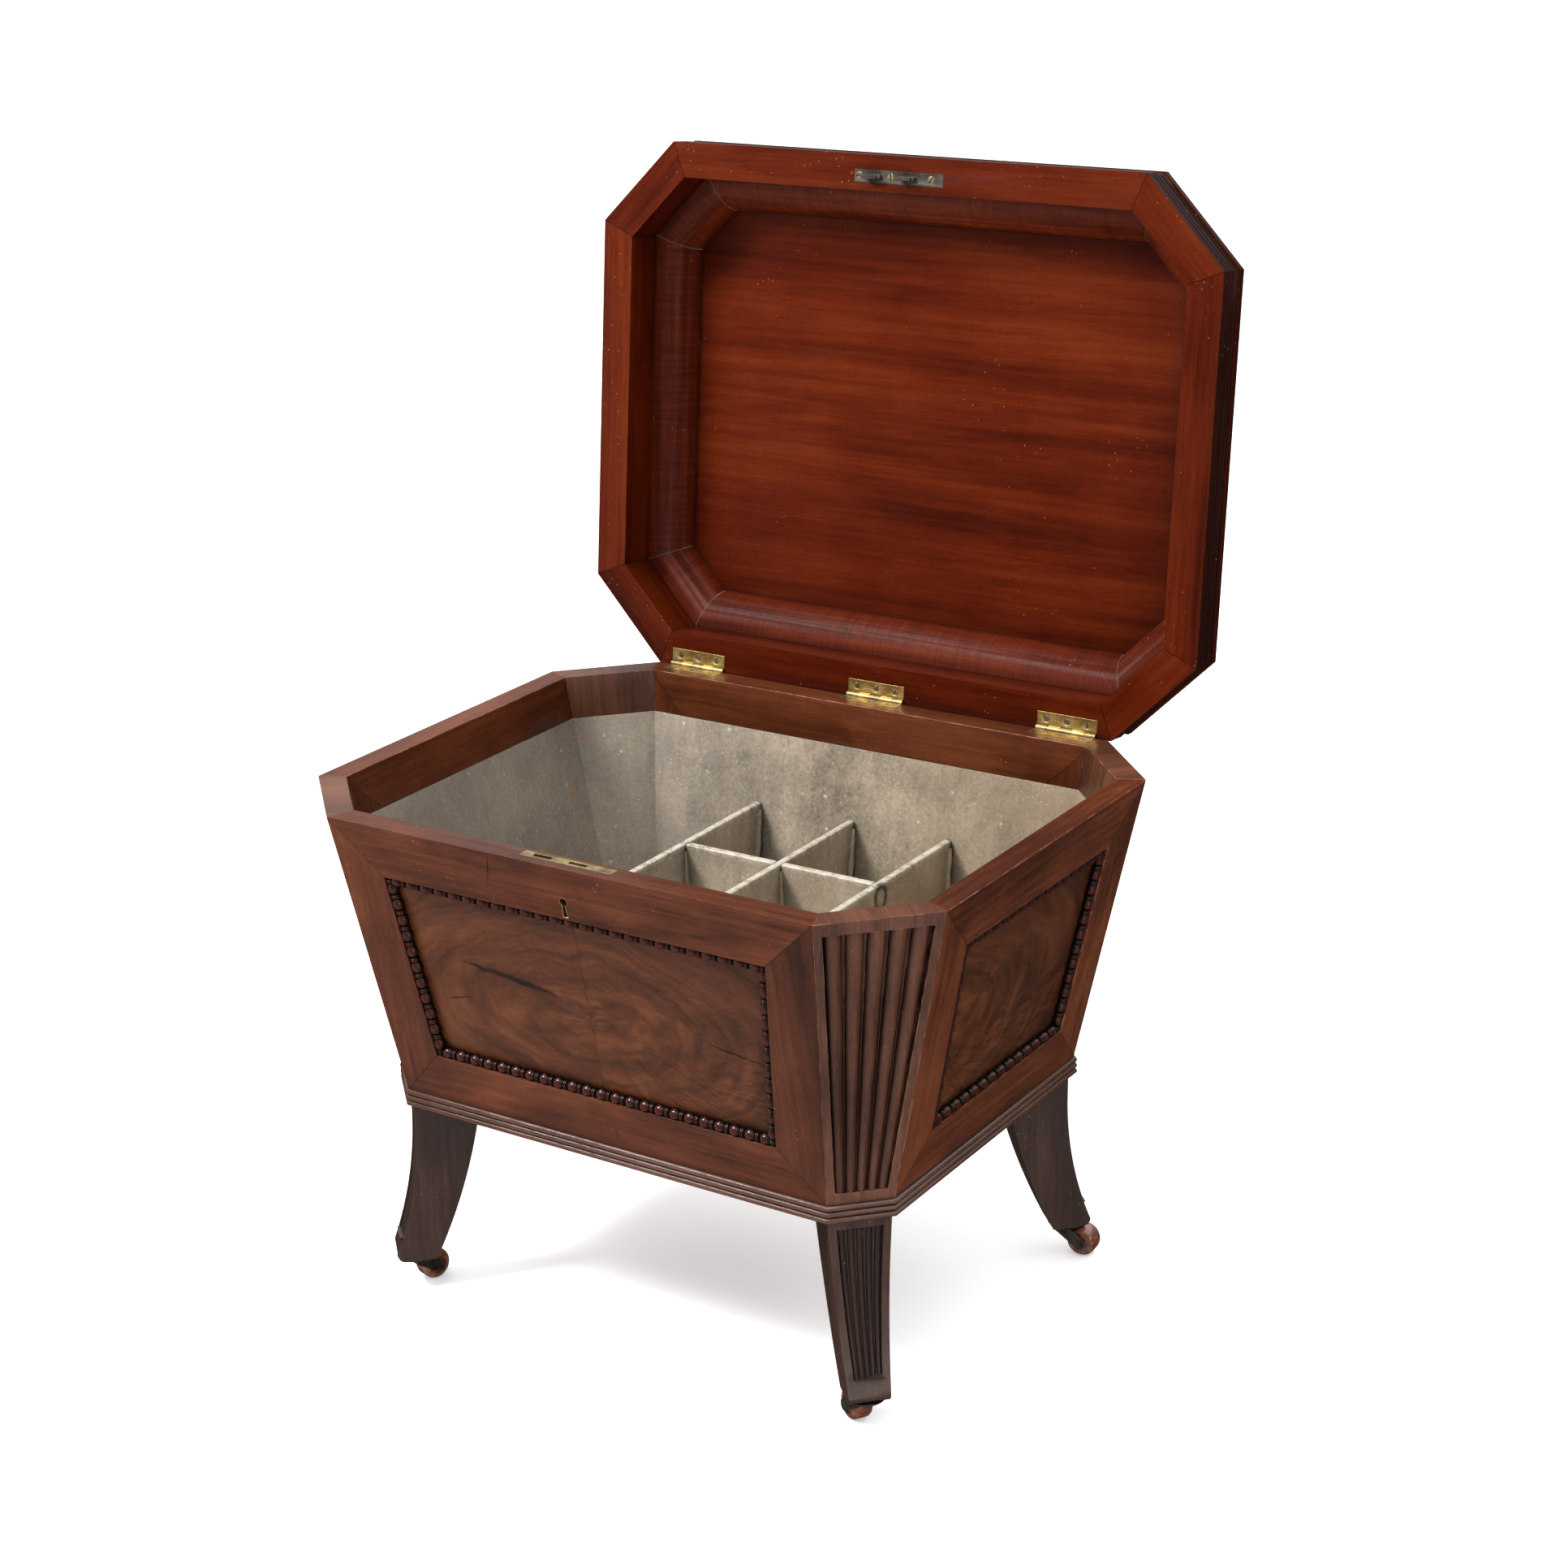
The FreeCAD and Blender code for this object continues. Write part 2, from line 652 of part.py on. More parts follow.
def key_outline(name, grow):
    """Keyhole shape on the front face: round top, straight sides, round foot."""
    waist = f"(key_radius/2+{grow})"
    foot = f"(key_foot+{grow})"
    top = f"(key_height/2-key_radius-key_drop)"
    low = f"(-key_height/2-key_drop-{grow})"
    corners = [
        (f"-{foot}", low),
        (foot, low),
        (waist, f"{top}-key_radius*0.8"),
        (f"-{waist}", f"{top}-key_radius*0.8"),
    ]
    return outline(name, corners, {2: ("Y", top, 1)}, at=FACES["front"])


def hinge_room(name, centre):
    """Let-in seat of one body leaf in the back board's rim."""
    return box(
        name + "_seat",
        (
            f"{centre}-hinge_length/2-board_fit",
            "hinge_axis_back-hinge_leaf-board_fit",
            "rim_level-hinge_thickness",
        ),
        ("hinge_length+2*board_fit", "hinge_leaf+board_fit", "2*hinge_thickness"),
    )


for edge, name in enumerate(RING):
    blank = board_blank(name, edge)
    hollowed = cut(name + "_hollowed", blank, [liner_room])
    side, kind = name.rsplit("_", 1)
    if kind == "corner":
        keep(name, reeded_corner(side, hollowed))
        continue
    rooms = [sunk_field(side)]
    if side == "front":
        rooms += lock_room()
    if side == "back":
        for spot, centre in hinge_centres().items():
            rooms.append(hinge_room(f"hinge_{spot}", centre))
    keep(name, cut(name, hollowed, rooms))

for side in FACES:
    veneered_panel(side)
    bead_moulding(side)

# ---------------------------------------------------------------------------------------
# Bottom: reeded base moulding round a flat board
# ---------------------------------------------------------------------------------------

reed_step = "moulding_height/3"
moulding_corners = [("-moulding_width", "0")]
moulding_corners += [("0", f"{index}*{reed_step}") for index in range(4)]
moulding_corners += [("-moulding_width", "moulding_height")]
moulding_profile = outline(
    "base_moulding_profile",
    moulding_corners,
    {index: ("X", "(moulding_reed^2-(moulding_height/6)^2)/(2*moulding_reed)", 1) for index in (1, 2, 3)},
    at=profile_place("-base_depth/2", "leg_top"),
)
moulding_path = outline("base_moulding_path", octagon("base_level"), level="leg_top")
keep("base_moulding", mitred_ring("base_moulding", moulding_profile, moulding_path))

bottom = new_body("bottom_board")
bottom_plan = octagon("base_level", "moulding_width+board_fit")
bottom_sketch = outline("bottom_board_outline", bottom_plan, level="leg_top", body=bottom)
pad(bottom, bottom_sketch, "moulding_height")
keep("bottom_board", bottom)

# ---------------------------------------------------------------------------------------
# Lead liner and partitions
# ---------------------------------------------------------------------------------------

liner_outside = octagon_block("liner_outside", "base_level+board_fit", "liner_top", "wall-liner_thickness")
liner_inside = octagon_block("liner_inside", "liner_floor", "liner_top+lip_height", "wall")
keep("lead_liner", cut("lead_liner", liner_outside, [liner_inside]))

ACROSS = Rotation(Vector(0, 1, 0), Vector(0, 0, 1), Vector(1, 0, 0), "XYZ")
LONG_PARTITIONS = {
    "left_partition": "-partition_pitch",
    "middle_partition": "0",
    "right_partition": "partition_pitch",
}
for name, centre in LONG_PARTITIONS.items():
    body = new_body(name)
    ends = {}
    for level in ("partition_base", "partition_top"):
        ends[level] = f"(body_depth/2-wall-partition_fit-(rim_level-{level})*front_slope)"
    sketch = outline(
        name + "_outline",
        [
            (f"-{ends['partition_base']}", "partition_base"),
            (ends["partition_base"], "partition_base"),
            (ends["partition_top"], "partition_top"),
            (f"-{ends['partition_top']}", "partition_top"),
        ],
        at=Placement(Vector(), ACROSS),
        body=body,
    )
    pad(body, sketch, "partition_thickness", both_ways=True)
    body.setExpression("Placement.Base.x", bound(centre))
    keep(name, body)

for name, side in (("rear_cross_partition", "1"), ("front_cross_partition", "-1")):
    halves = [
        box(
            f"{name}_{half}",
            (
                f"{start}+partition_thickness/2+partition_fit",
                f"{side}*partition_cross-partition_thickness/2",
                "partition_base",
            ),
            (
                "partition_pitch-partition_thickness-2*partition_fit",
                "partition_thickness",
                "partition_top-partition_base",
            ),
        )
        for half, start in (("left", "-partition_pitch"), ("right", "0"))
    ]
    keep(name, group(name, halves))

# ---------------------------------------------------------------------------------------
# Sabre legs
# ---------------------------------------------------------------------------------------


def leg_place(name):
    """Frame of a leg: X out along the diagonal from the canted face's foot, Y up."""
    turn, _ = CORNERS[name]
    out = Rotation(Vector(0, 0, 1), turn).multVec(Vector(0, -1, 0))
    start = Vector(
        math.copysign(number("(base_width-base_cut)/2"), out.x),
        math.copysign(number("(base_depth-base_cut)/2"), out.y),
        0,
    )
    side = Vector(0, 0, 1).cross(out)
    return Placement(start, Rotation(out, Vector(0, 0, 1), side * -1, "XYZ"))


leg_profile = outline(
    "leg_profile",
    [
        ("leg_rear", "leg_top"),
        ("-leg_set_back", "leg_top"),
        ("-leg_set_back", "leg_top-leg_straight"),
        ("leg_toe", "foot_level+foot_round"),
        ("leg_toe-foot_round", "foot_level"),
        ("leg_heel", "foot_level"),
    ],
    {
        2: ("Y", "leg_top-leg_straight", 1),
        3: ("X", "leg_toe-foot_round", -1),
        5: ("X", "leg_curve", -1),
    },
)
leg_side = extrusion("leg_side", leg_profile, "leg_top_width", both_ways=True)
FACING = Rotation(Vector(0, 0, -1), Vector(0, 1, 0), Vector(1, 0, 0), "XYZ")
leg_front_outline = outline(
    "leg_front_outline",
    [
        ("-foot_width/2", "foot_level"),
        ("foot_width/2", "foot_level"),
        ("leg_top_width/2", "leg_top"),
        ("-leg_top_width/2", "leg_top"),
    ],
    at=Placement(Vector(), FACING),
)
leg_front = extrusion("leg_front", leg_front_outline, "2*(leg_top_depth+leg_set_back)", both_ways=True)
leg = common("leg", [leg_side, leg_front])

for name in CORNERS:
    made = group(name + "_leg", [leg])
    made.Placement = leg_place(name)
    keep(name + "_leg", made)

# ---------------------------------------------------------------------------------------
# Casters
# ---------------------------------------------------------------------------------------

# Way that each caster trails at rest, degrees from +X.
TRAILS = {"front_right": 147, "rear_right": 5, "rear_left": 165, "front_left": 75}


def caster_place(name):
    """Frame of a caster: Z up through its swivel from the floor, X the way it trails."""
    leg_frame = leg_place(name)
    start = leg_frame.multVec(Vector(number("(leg_toe+leg_heel)/2"), 0, 0))
    return Placement(start, Rotation(Vector(0, 0, 1), TRAILS[name]))


AXIAL = Rotation(Vector(1, 0, 0), Vector(0, 0, 1), Vector(0, -1, 0), "XYZ")


def caster_plate():
    """Round plate under the foot with the riveted swivel pin."""
    body = new_body("caster_plate_master")
    top = "foot_level"
    under = "(foot_level-plate_thickness)"
    low = f"({under}-fork_gap-fork_crown)"
    corners = [
        ("0", low),
        ("swivel_radius", low),
        ("swivel_radius", under),
        ("plate_radius", under),
        ("plate_radius", top),
        ("0", top),
    ]
    sketch = outline("caster_plate_section", corners, at=Placement(Vector(), AXIAL), body=body)
    revolve(body, sketch, "V_Axis")
    return body


def caster_wheel():
    """Barrel wheel with an axle hole."""
    body = new_body("caster_wheel_master")
    tread = circle_outline("caster_tread", ("0", "0"), "wheel_radius", body=body)
    pad(body, tread, "wheel_width", both_ways=True)
    bore = circle_outline("caster_bore", ("0", "0"), "axle_radius+running_fit", body=body)
    pocket(body, bore, "2*wheel_width", both_ways=True)
    return body


fork_half = "(wheel_width/2+fork_gap+fork_arm)"
fork_top = "(foot_level-plate_thickness-fork_gap)"


def caster_fork():
    """Fork: boss round the swivel pin and two arms down to the axle, cut clear of the wheel."""
    arm_outline = outline(
        "fork_side",
        [
            ("-fork_boss_radius", f"{fork_top}-fork_crown"),
            ("caster_trail-fork_eye*0.6", "wheel_radius-fork_eye*0.8"),
            ("caster_trail+fork_eye*0.6", "wheel_radius+fork_eye*0.8"),
            ("fork_boss_radius", fork_top),
            ("-fork_boss_radius", fork_top),
        ],
        {1: ("X", "caster_trail", 1)},
        at=Placement(Vector(), AXIAL),
    )
    slab = extrusion("fork_slab", arm_outline, f"2*{fork_half}", both_ways=True)
    crown_start = ("0", "0", f"{fork_top}-fork_crown")
    boss = cylinder("fork_boss", crown_start, Vector(0, 0, 1), "fork_boss_radius", "fork_crown")
    solid = fuse("fork_solid", [slab, boss])
    wheel_room = cylinder(
        "fork_wheel_room",
        ("caster_trail", "-wheel_width/2-fork_gap", "wheel_radius"),
        Vector(0, 1, 0),
        "wheel_radius+2*fork_gap",
        "wheel_width+2*fork_gap",
    )
    pin_room = cylinder(
        "fork_pin_room",
        ("0", "0", f"{fork_top}-2*fork_crown"),
        Vector(0, 0, 1),
        "swivel_radius+running_fit",
        "3*fork_crown",
    )
    between = box(
        "fork_between",
        ("-2*fork_boss_radius", "-wheel_width/2-fork_gap", "0"),
        ("2*fork_boss_radius+2*caster_trail", "wheel_width+2*fork_gap", f"{fork_top}-fork_crown"),
    )
    axle = cylinder(
        "caster_axle",
        ("caster_trail", f"-{fork_half}", "wheel_radius"),
        Vector(0, 1, 0),
        "axle_radius",
        f"2*{fork_half}",
    )
    return fuse("caster_fork_master", [cut("fork_open", solid, [wheel_room, pin_room, between]), axle])


plate_master = caster_plate()
wheel_master = caster_wheel()
fork_master = caster_fork()
WHEEL_TURN = Rotation(Vector(1, 0, 0), 90)
caster_plates = []
for name in CORNERS:
    place = caster_place(name)
    mounted = group(name + "_caster_plate", [plate_master])
    mounted.Placement = place
    caster_plates.append(mounted)
    wheel_at = place * Placement(Vector(number("caster_trail"), 0, number("wheel_radius")), WHEEL_TURN)
    for part, master, spot in (
        ("caster_fork", fork_master, place),
        ("caster_wheel", wheel_master, wheel_at),
    ):
        made = group(f"{name}_{part}", [master])
        made.Placement = spot
        keep(f"{name}_{part}", made)
keep("caster_plates", group("caster_plates", caster_plates))

# ---------------------------------------------------------------------------------------
# Lid: moulded frame, cove and top board, drawn closed and turned open about the hinges
# ---------------------------------------------------------------------------------------

hinge_axis = point("0", "hinge_axis_back", "hinge_axis_level")
OPEN = Placement(Vector(), Rotation(Vector(1, 0, 0), -number("lid_open")), hinge_axis)

LID_CORNERS = [
    ("-lid_frame_width", "0"),
    ("0", "0"),
    ("0", "lid_arris_height"),
    ("-lid_reed", "lid_arris_height"),
    ("-lid_reed", "lid_arris_height+2*lid_reed"),
    ("-lid_reed", "lid_arris_height+4*lid_reed"),
    ("-lid_reed", "lid_arris_height+6*lid_reed"),
    ("-lid_hollow_sink", "lid_arris_height+6*lid_reed+lid_quirk"),
    ("-lid_reed/2", "lid_frame_height-lid_fillet"),
    ("0", "lid_frame_height-lid_fillet"),
    ("0", "lid_frame_height"),
    ("-lid_frame_width", "lid_frame_height"),
]
LID_ARCS = {
    3: ("X", "-lid_reed", 1),
    4: ("X", "-lid_reed", 1),
    5: ("X", "-lid_reed", 1),
    7: ("X", "lid_reed", -1),
}
lid_path = outline("lid_path", octagon("rim_level", "-lid_overhang"), level="lid_level")
lid_edge_at = profile_place("-body_depth/2-lid_overhang", "lid_level")
lid_profile = outline("lid_frame_profile", LID_CORNERS, LID_ARCS, at=lid_edge_at)
lid_frame_blank = mitred_ring("lid_frame_blank", lid_profile, lid_path)


def lid_rooms():
    """Seats in the lid frame for the hinges' leaves and knuckles and for the strike plate."""
    rooms = []
    for spot, centre in hinge_centres().items():
        rooms.append(
            box(
                f"lid_seat_{spot}",
                (
                    f"{centre}-hinge_length/2-board_fit",
                    "hinge_axis_back-hinge_leaf-board_fit",
                    "lid_level-hinge_thickness",
                ),
                ("hinge_length+2*board_fit", "hinge_leaf+board_fit", "2*hinge_thickness"),
            )
        )
        rooms.append(
            cylinder(
                f"lid_knuckle_room_{spot}",
                (f"{centre}-hinge_length/2-board_fit", "hinge_axis_back", "hinge_axis_level"),
                Vector(1, 0, 0),
                "hinge_knuckle+hinge_clearance",
                "hinge_length+2*board_fit",
            )
        )
    rooms.append(
        box(
            "strike_room",
            (
                "-strike_length/2-board_fit",
                "lock_line-strike_width/2-board_fit",
                "lid_level-strike_thickness",
            ),
            ("strike_length+2*board_fit", "strike_width+2*board_fit", "2*strike_thickness"),
        )
    )
    return rooms


lid_frame = cut("lid_frame", lid_frame_blank, lid_rooms())
lid_frame.Placement = OPEN
keep("lid_frame", lid_frame)

cove_profile = outline(
    "lid_cove_profile",
    [
        ("-lid_frame_width", "lid_frame_height"),
        ("-lid_ledge", "lid_frame_height"),
        ("-lid_ledge-lid_cove", "lid_height"),
        ("-lid_frame_width-lid_cove", "lid_height"),
    ],
    {1: ("Y", "lid_height", -1), 3: ("Y", "lid_height", 1)},
    at=lid_edge_at,
)
lid_cove_ring = mitred_ring("lid_cove_ring", cove_profile, lid_path)
lid_cove = group("lid_cove", [lid_cove_ring])
lid_cove.Placement = OPEN
keep("lid_cove", lid_cove)

lid_top = new_body("lid_top")
top_inset = "lid_ledge+lid_cove-lid_top_overhang-lid_overhang"
top_pad = pad(
    lid_top,
    outline("lid_top_outline", octagon("rim_level", top_inset), level="lid_level+lid_height", body=lid_top),
    "lid_top_thickness",
)
lid_top.Placement = OPEN
keep("lid_top", lid_top)

# ---------------------------------------------------------------------------------------
# Hinges: two leaves, knuckles about one pin
# ---------------------------------------------------------------------------------------

KNUCKLES = 5


def hinge_leaf(name, centre, low, turns):
    """One leaf: let-in plate and its share of the knuckles."""
    step = f"(hinge_length/{KNUCKLES})"
    plate = box(
        name + "_plate",
        (f"{centre}-hinge_length/2", "hinge_axis_back-hinge_leaf", low),
        ("hinge_length", "hinge_leaf-hinge_knuckle-hinge_clearance", "hinge_thickness"),
    )
    pieces = [plate]
    for index in turns:
        start = f"{centre}-hinge_length/2+{index}*{step}+hinge_knuckle_gap/2"
        pieces.append(
            box(
                f"{name}_tongue_{index}",
                (start, "hinge_axis_back-hinge_knuckle-2*hinge_clearance", low),
                (f"{step}-hinge_knuckle_gap", "hinge_knuckle+2*hinge_clearance", "hinge_thickness"),
            )
        )
        pieces.append(
            cylinder(
                f"{name}_knuckle_{index}",
                (start, "hinge_axis_back", "hinge_axis_level"),
                Vector(1, 0, 0),
                "hinge_knuckle",
                f"{step}-hinge_knuckle_gap",
            )
        )
    return fuse(name + "_solid", pieces)


def hinge_rod(name, centre, radius):
    """The pin, or the hole for it, along the whole hinge."""
    start = (f"{centre}-hinge_length/2+hinge_knuckle_gap", "hinge_axis_back", "hinge_axis_level")
    return cylinder(name, start, Vector(1, 0, 0), radius, "hinge_length-2*hinge_knuckle_gap")


body_leaves = []
lid_leaves = []
for spot, centre in hinge_centres().items():
    fixed = hinge_leaf(f"body_leaf_{spot}", centre, "rim_level-hinge_thickness", (0, 2, 4))
    body_leaves += [fixed, hinge_rod(f"hinge_pin_{spot}", centre, "hinge_pin")]
    moving = hinge_leaf(f"lid_leaf_{spot}", centre, "lid_level", (1, 3))
    hole = hinge_rod(f"hinge_hole_{spot}", centre, "hinge_pin+running_fit")
    lid_leaves.append(cut(f"lid_leaf_{spot}", moving, [hole]))
keep("hinge_body_leaves", fuse("hinge_body_leaves", body_leaves))
lid_leaf_group = group("hinge_lid_leaves", lid_leaves)
lid_leaf_group.Placement = OPEN
keep("hinge_lid_leaves", lid_leaf_group)

# ---------------------------------------------------------------------------------------
# Lock, bolt, escutcheon and strike plate
# ---------------------------------------------------------------------------------------

case_top = "(rim_level-selvedge_thickness)"
selvedge = box(
    "selvedge",
    ("-selvedge_length/2", "lock_line-selvedge_width/2", case_top),
    ("selvedge_length", "selvedge_width", "selvedge_thickness"),
)
case_outside = box(
    "case_outside",
    ("-case_length/2", "lock_line-case_thickness/2", "case_floor"),
    ("case_length", "case_thickness", f"{case_top}-case_floor"),
)
case_inside = box(
    "case_inside",
    (
        "-case_length/2+case_wall",
        "lock_line-case_thickness/2+case_wall",
        "case_floor+case_wall",
    ),
    ("case_length-2*case_wall", "case_thickness-2*case_wall", f"{case_top}-case_floor-case_wall"),
)
LINKS = ("link_left", "link_right")
link_slots = [
    box(
        f"{link}_slot",
        (
            f"{link}-link_width/2-link_slot",
            "lock_line-link_thickness/2-link_slot/2",
            f"{case_top}-board_fit",
        ),
        ("link_width+2*link_slot", "link_thickness+link_slot", "2*selvedge_thickness"),
    )
    for link in LINKS
]
case_key_outline = key_outline("case_key_outline", "-key_rim")
case_key = extrusion("case_key", case_key_outline, "key_hole_depth", backwards=True)
lock_solid = fuse("lock_solid", [selvedge, case_outside])
keep("lock_case", cut("lock_case", lock_solid, [case_inside, case_key] + link_slots))

bar_top = "(rim_level-bolt_drop)"
nose_top = "(rim_level-bolt_nose_drop)"
bolt_near = "lock_line-bolt_thickness/2"
bolt_pieces = [
    box(
        "bolt_bar",
        ("-bolt_length/2+bolt_throw/2", bolt_near, f"{bar_top}-bolt_height"),
        ("bolt_length", "bolt_thickness", "bolt_height"),
    )
]
for link in LINKS:
    # Each nose stands just clear of its link's side and slides left into the notch.
    tip = f"{link}+link_width/2+bolt_throw/6"
    bolt_pieces.append(
        box(
            f"bolt_nose_{link}",
            (tip, bolt_near, f"{nose_top}-bolt_nose_height"),
            ("bolt_nose+bolt_post", "bolt_thickness", "bolt_nose_height"),
        )
    )
    bolt_pieces.append(
        box(
            f"bolt_post_{link}",
            (f"{tip}+bolt_nose", bolt_near, bar_top),
            ("bolt_post", "bolt_thickness", "bolt_drop-bolt_nose_drop"),
        )
    )
talon = box(
    "bolt_talon",
    ("bolt_throw/2-link_notch", bolt_near, f"{bar_top}-bolt_height"),
    ("2*link_notch", "bolt_thickness", "bolt_height/2"),
)
keep("lock_bolt", cut("lock_bolt", fuse("lock_bolt_solid", bolt_pieces), [talon]))

brass_outside = extrusion("key_brass", key_outline("key_brass_outline", "0"), "key_depth", backwards=True)
key_clear_outline = key_outline("key_clear_outline", "-key_rim")
brass_inside = extrusion("key_clear", key_clear_outline, "key_hole_depth", backwards=True)
keep("escutcheon", cut("escutcheon", brass_outside, [brass_inside]))

strike_pieces = [
    box(
        "strike_plate_flat",
        ("-strike_length/2", "lock_line-strike_width/2", "lid_level"),
        ("strike_length", "strike_width", "strike_thickness"),
    )
]
for link in LINKS:
    strike_pieces.append(
        box(
            f"{link}_lug",
            (f"{link}-link_width/2", "lock_line-link_thickness/2", "lid_level-link_length"),
            ("link_width", "link_thickness", "link_length"),
        )
    )
notches = [
    box(
        f"{link}_notch",
        (
            f"{link}+link_width/2-link_notch",
            "lock_line-link_thickness",
            f"{nose_top}-bolt_nose_height-lid_gap",
        ),
        ("2*link_notch", "2*link_thickness", "bolt_nose_height+2*lid_gap"),
    )
    for link in LINKS
]
strike = cut("strike_plate", fuse("strike_solid", strike_pieces), notches)
strike.Placement = OPEN
keep("strike_plate", strike)

# ---------------------------------------------------------------------------------------
# Build, check and write
# ---------------------------------------------------------------------------------------

document.recompute()
for item in document.Objects:
    if "Invalid" in item.State or "Error" in item.State:
        raise RuntimeError(f"{item.Label} failed: {item.State}")
for name, item in nodes.items():
    if item.Shape.isNull() or not item.Shape.isValid() or not item.Shape.Solids:
        raise RuntimeError(f"{name} has no valid solid")

os.makedirs("parts", exist_ok=True)
for name, item in nodes.items():
    item.Shape.exportStep(f"parts/{name}.step")
    print(f"{name}: {len(item.Shape.Solids)} solid(s), {item.Shape.Volume / 1000:.1f} cm3")
print(len(nodes), "nodes")
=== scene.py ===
"""Cellarette: the looks of a canted mahogany wine chest, dressed round its frame."""

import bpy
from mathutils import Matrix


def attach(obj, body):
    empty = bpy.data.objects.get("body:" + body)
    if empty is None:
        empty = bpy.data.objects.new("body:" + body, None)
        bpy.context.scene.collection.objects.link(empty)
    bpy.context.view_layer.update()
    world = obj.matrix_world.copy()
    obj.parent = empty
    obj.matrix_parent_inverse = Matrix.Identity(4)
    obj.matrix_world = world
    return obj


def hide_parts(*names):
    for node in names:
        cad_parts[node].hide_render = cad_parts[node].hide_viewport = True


bl_info = {
    "name": "Cellarette",
    "version": (1, 0, 0),
    "blender": (4, 5, 0),
    "location": "3D View > Sidebar > Cellarette",
    "description": "Boards, reeds, beads, lead, brass and casters of a wine chest",
    "category": "Object",
}

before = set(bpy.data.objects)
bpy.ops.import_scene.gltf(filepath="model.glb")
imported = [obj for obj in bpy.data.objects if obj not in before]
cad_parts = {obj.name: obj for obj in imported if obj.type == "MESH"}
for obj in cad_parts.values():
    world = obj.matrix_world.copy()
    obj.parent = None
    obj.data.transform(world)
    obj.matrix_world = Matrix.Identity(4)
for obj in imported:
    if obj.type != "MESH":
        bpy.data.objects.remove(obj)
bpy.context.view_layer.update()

import math

import bmesh
import bpy
from mathutils import Matrix, Vector

UP = Vector((0, 0, 1))
# Vertices this close are one, and faces this even, in degrees, are one flat face.
TIGHT = 1e-6
FLAT_ANGLE = 0.6

# Outside of the chest at the rim and at the bottom of the boards: half width, half depth, cant.
RIM_LEVEL = 0.523
BASE_LEVEL = 0.228
RIM_PLAN = (0.350, 0.2685, 0.0825)
BASE_PLAN = (0.284, 0.214, 0.044)
PANEL_TOP = 0.054
PANEL_BASE = 0.050
PANEL_SIDE = 0.051
SIDES = ("front", "front_right", "right", "rear_right", "back", "rear_left", "left", "front_left")
FLAT_SIDES = SIDES[0::2]
CORNERS = SIDES[1::2]

# Corner reeds: field border, distance from the rim and from the boards' bottom, radius and depth
# as shares of their pitch, how far they stand proud and run on, and the fillets between them.
REED_BORDER = 0.008
REED_TOP = 0.013
REED_BASE = 0.012
REED_SHARE = 0.43
REED_SINK = 0.03
REED_PROUD = 1.012
REED_RUN_ON = 0.0004
FILLET_SHARE = 0.05
FILLET_RISE = 0.06

# Legs: levels, how far out the face stands at the top and at the toe, and the reeded field.
LEG_TOP = 0.210
FOOT_LEVEL = 0.033
LEG_FACE = -0.005
LEG_TOE = 0.0222
LEG_HEEL = -0.0162
LEG_STRAIGHT = 0.025
TOE_LEVEL = FOOT_LEVEL + 0.008
LEG_FIELD = (FOOT_LEVEL + 0.0165, LEG_TOP - 0.003)
LEG_REEDS = (FOOT_LEVEL + 0.0235, LEG_TOP - 0.0105)
LEG_REED_WIDTHS = (0.0262, 0.0435)
LEG_REED_SHARE = 0.44
LEG_REED_SINK = 0.52

# Casters: how far and in which direction they trail, and the wheel with its ringed sides.
CASTER_TRAIL = 0.019
WHEEL_RADIUS = 0.0155
WHEEL_WIDTH = 0.022
WHEEL_TREAD = 0.0062
WHEEL_RINGS = (
    (0.0009, -0.0006),
    (0.0012, 0.0),
    (0.0007, 0.0007),
    (0.0016, 0.0),
    (0.0006, -0.0007),
    (0.0012, 0.0005),
)
TRAILS = {"front_right": 147, "rear_right": 5, "rear_left": 165, "front_left": 75}

# Partitions: thickness, rounding, lines of the long ones and of the short ones across them.
PARTITION = 0.008
PARTITION_EDGE = 0.0018
SHEET_EDGE = 0.0008
PARTITION_PITCH = 0.114
CROSS_LINE = 0.085

# Wiped joints: levels, how far the liner's face is from the outside, radii at the liner and inside.
WIPE_LEVELS = (0.234, 0.4)
LINER_IN = 0.0292
LINER_WIPE = 0.0042
CROSS_WIPE = 0.0036

# Lid: hinge axis, opening and level of its underside when closed.
HINGE_AXIS = Vector((0, 0.2709, 0.52325))
LID_OPEN = math.radians(96.5)
LID_LEVEL = 0.5235
COVE_RADIUS = 0.035
HINGE_CENTRES = (-0.220, 0.0, 0.220)
HINGE_SCREWS = (-0.0225, 0.0, 0.0225)
HINGE_SCREW_LINE = HINGE_AXIS.y - 0.01
LOCK_LINE = -0.2515
LOCK_SCREWS = ((-0.046, 30), (0.046, 100))
LOCK_SCREW_RADIUS = 0.0026
STRIKE_SCREWS = ((-0.045, 20), (-0.009, 95), (0.037, 60))
STRIKE_SCREW_RADIUS = 0.004
OPENING = Matrix.Translation(HINGE_AXIS) @ Matrix.Rotation(-LID_OPEN, 4, "X")
OPENING = OPENING @ Matrix.Translation(-HINGE_AXIS)
CLOSING = OPENING.inverted()


# ---- Faces of the chest ----


def plan_at(level):
    """Half width, half depth and cant of the chest's outside at a level."""
    share = (RIM_LEVEL - level) / (RIM_LEVEL - BASE_LEVEL)
    return [top + share * (base - top) for top, base in zip(RIM_PLAN, BASE_PLAN)]


def outward(side):
    angle = math.radians(45 * SIDES.index(side) - 90)
    return Vector((round(math.cos(angle), 9), round(math.sin(angle), 9), 0))


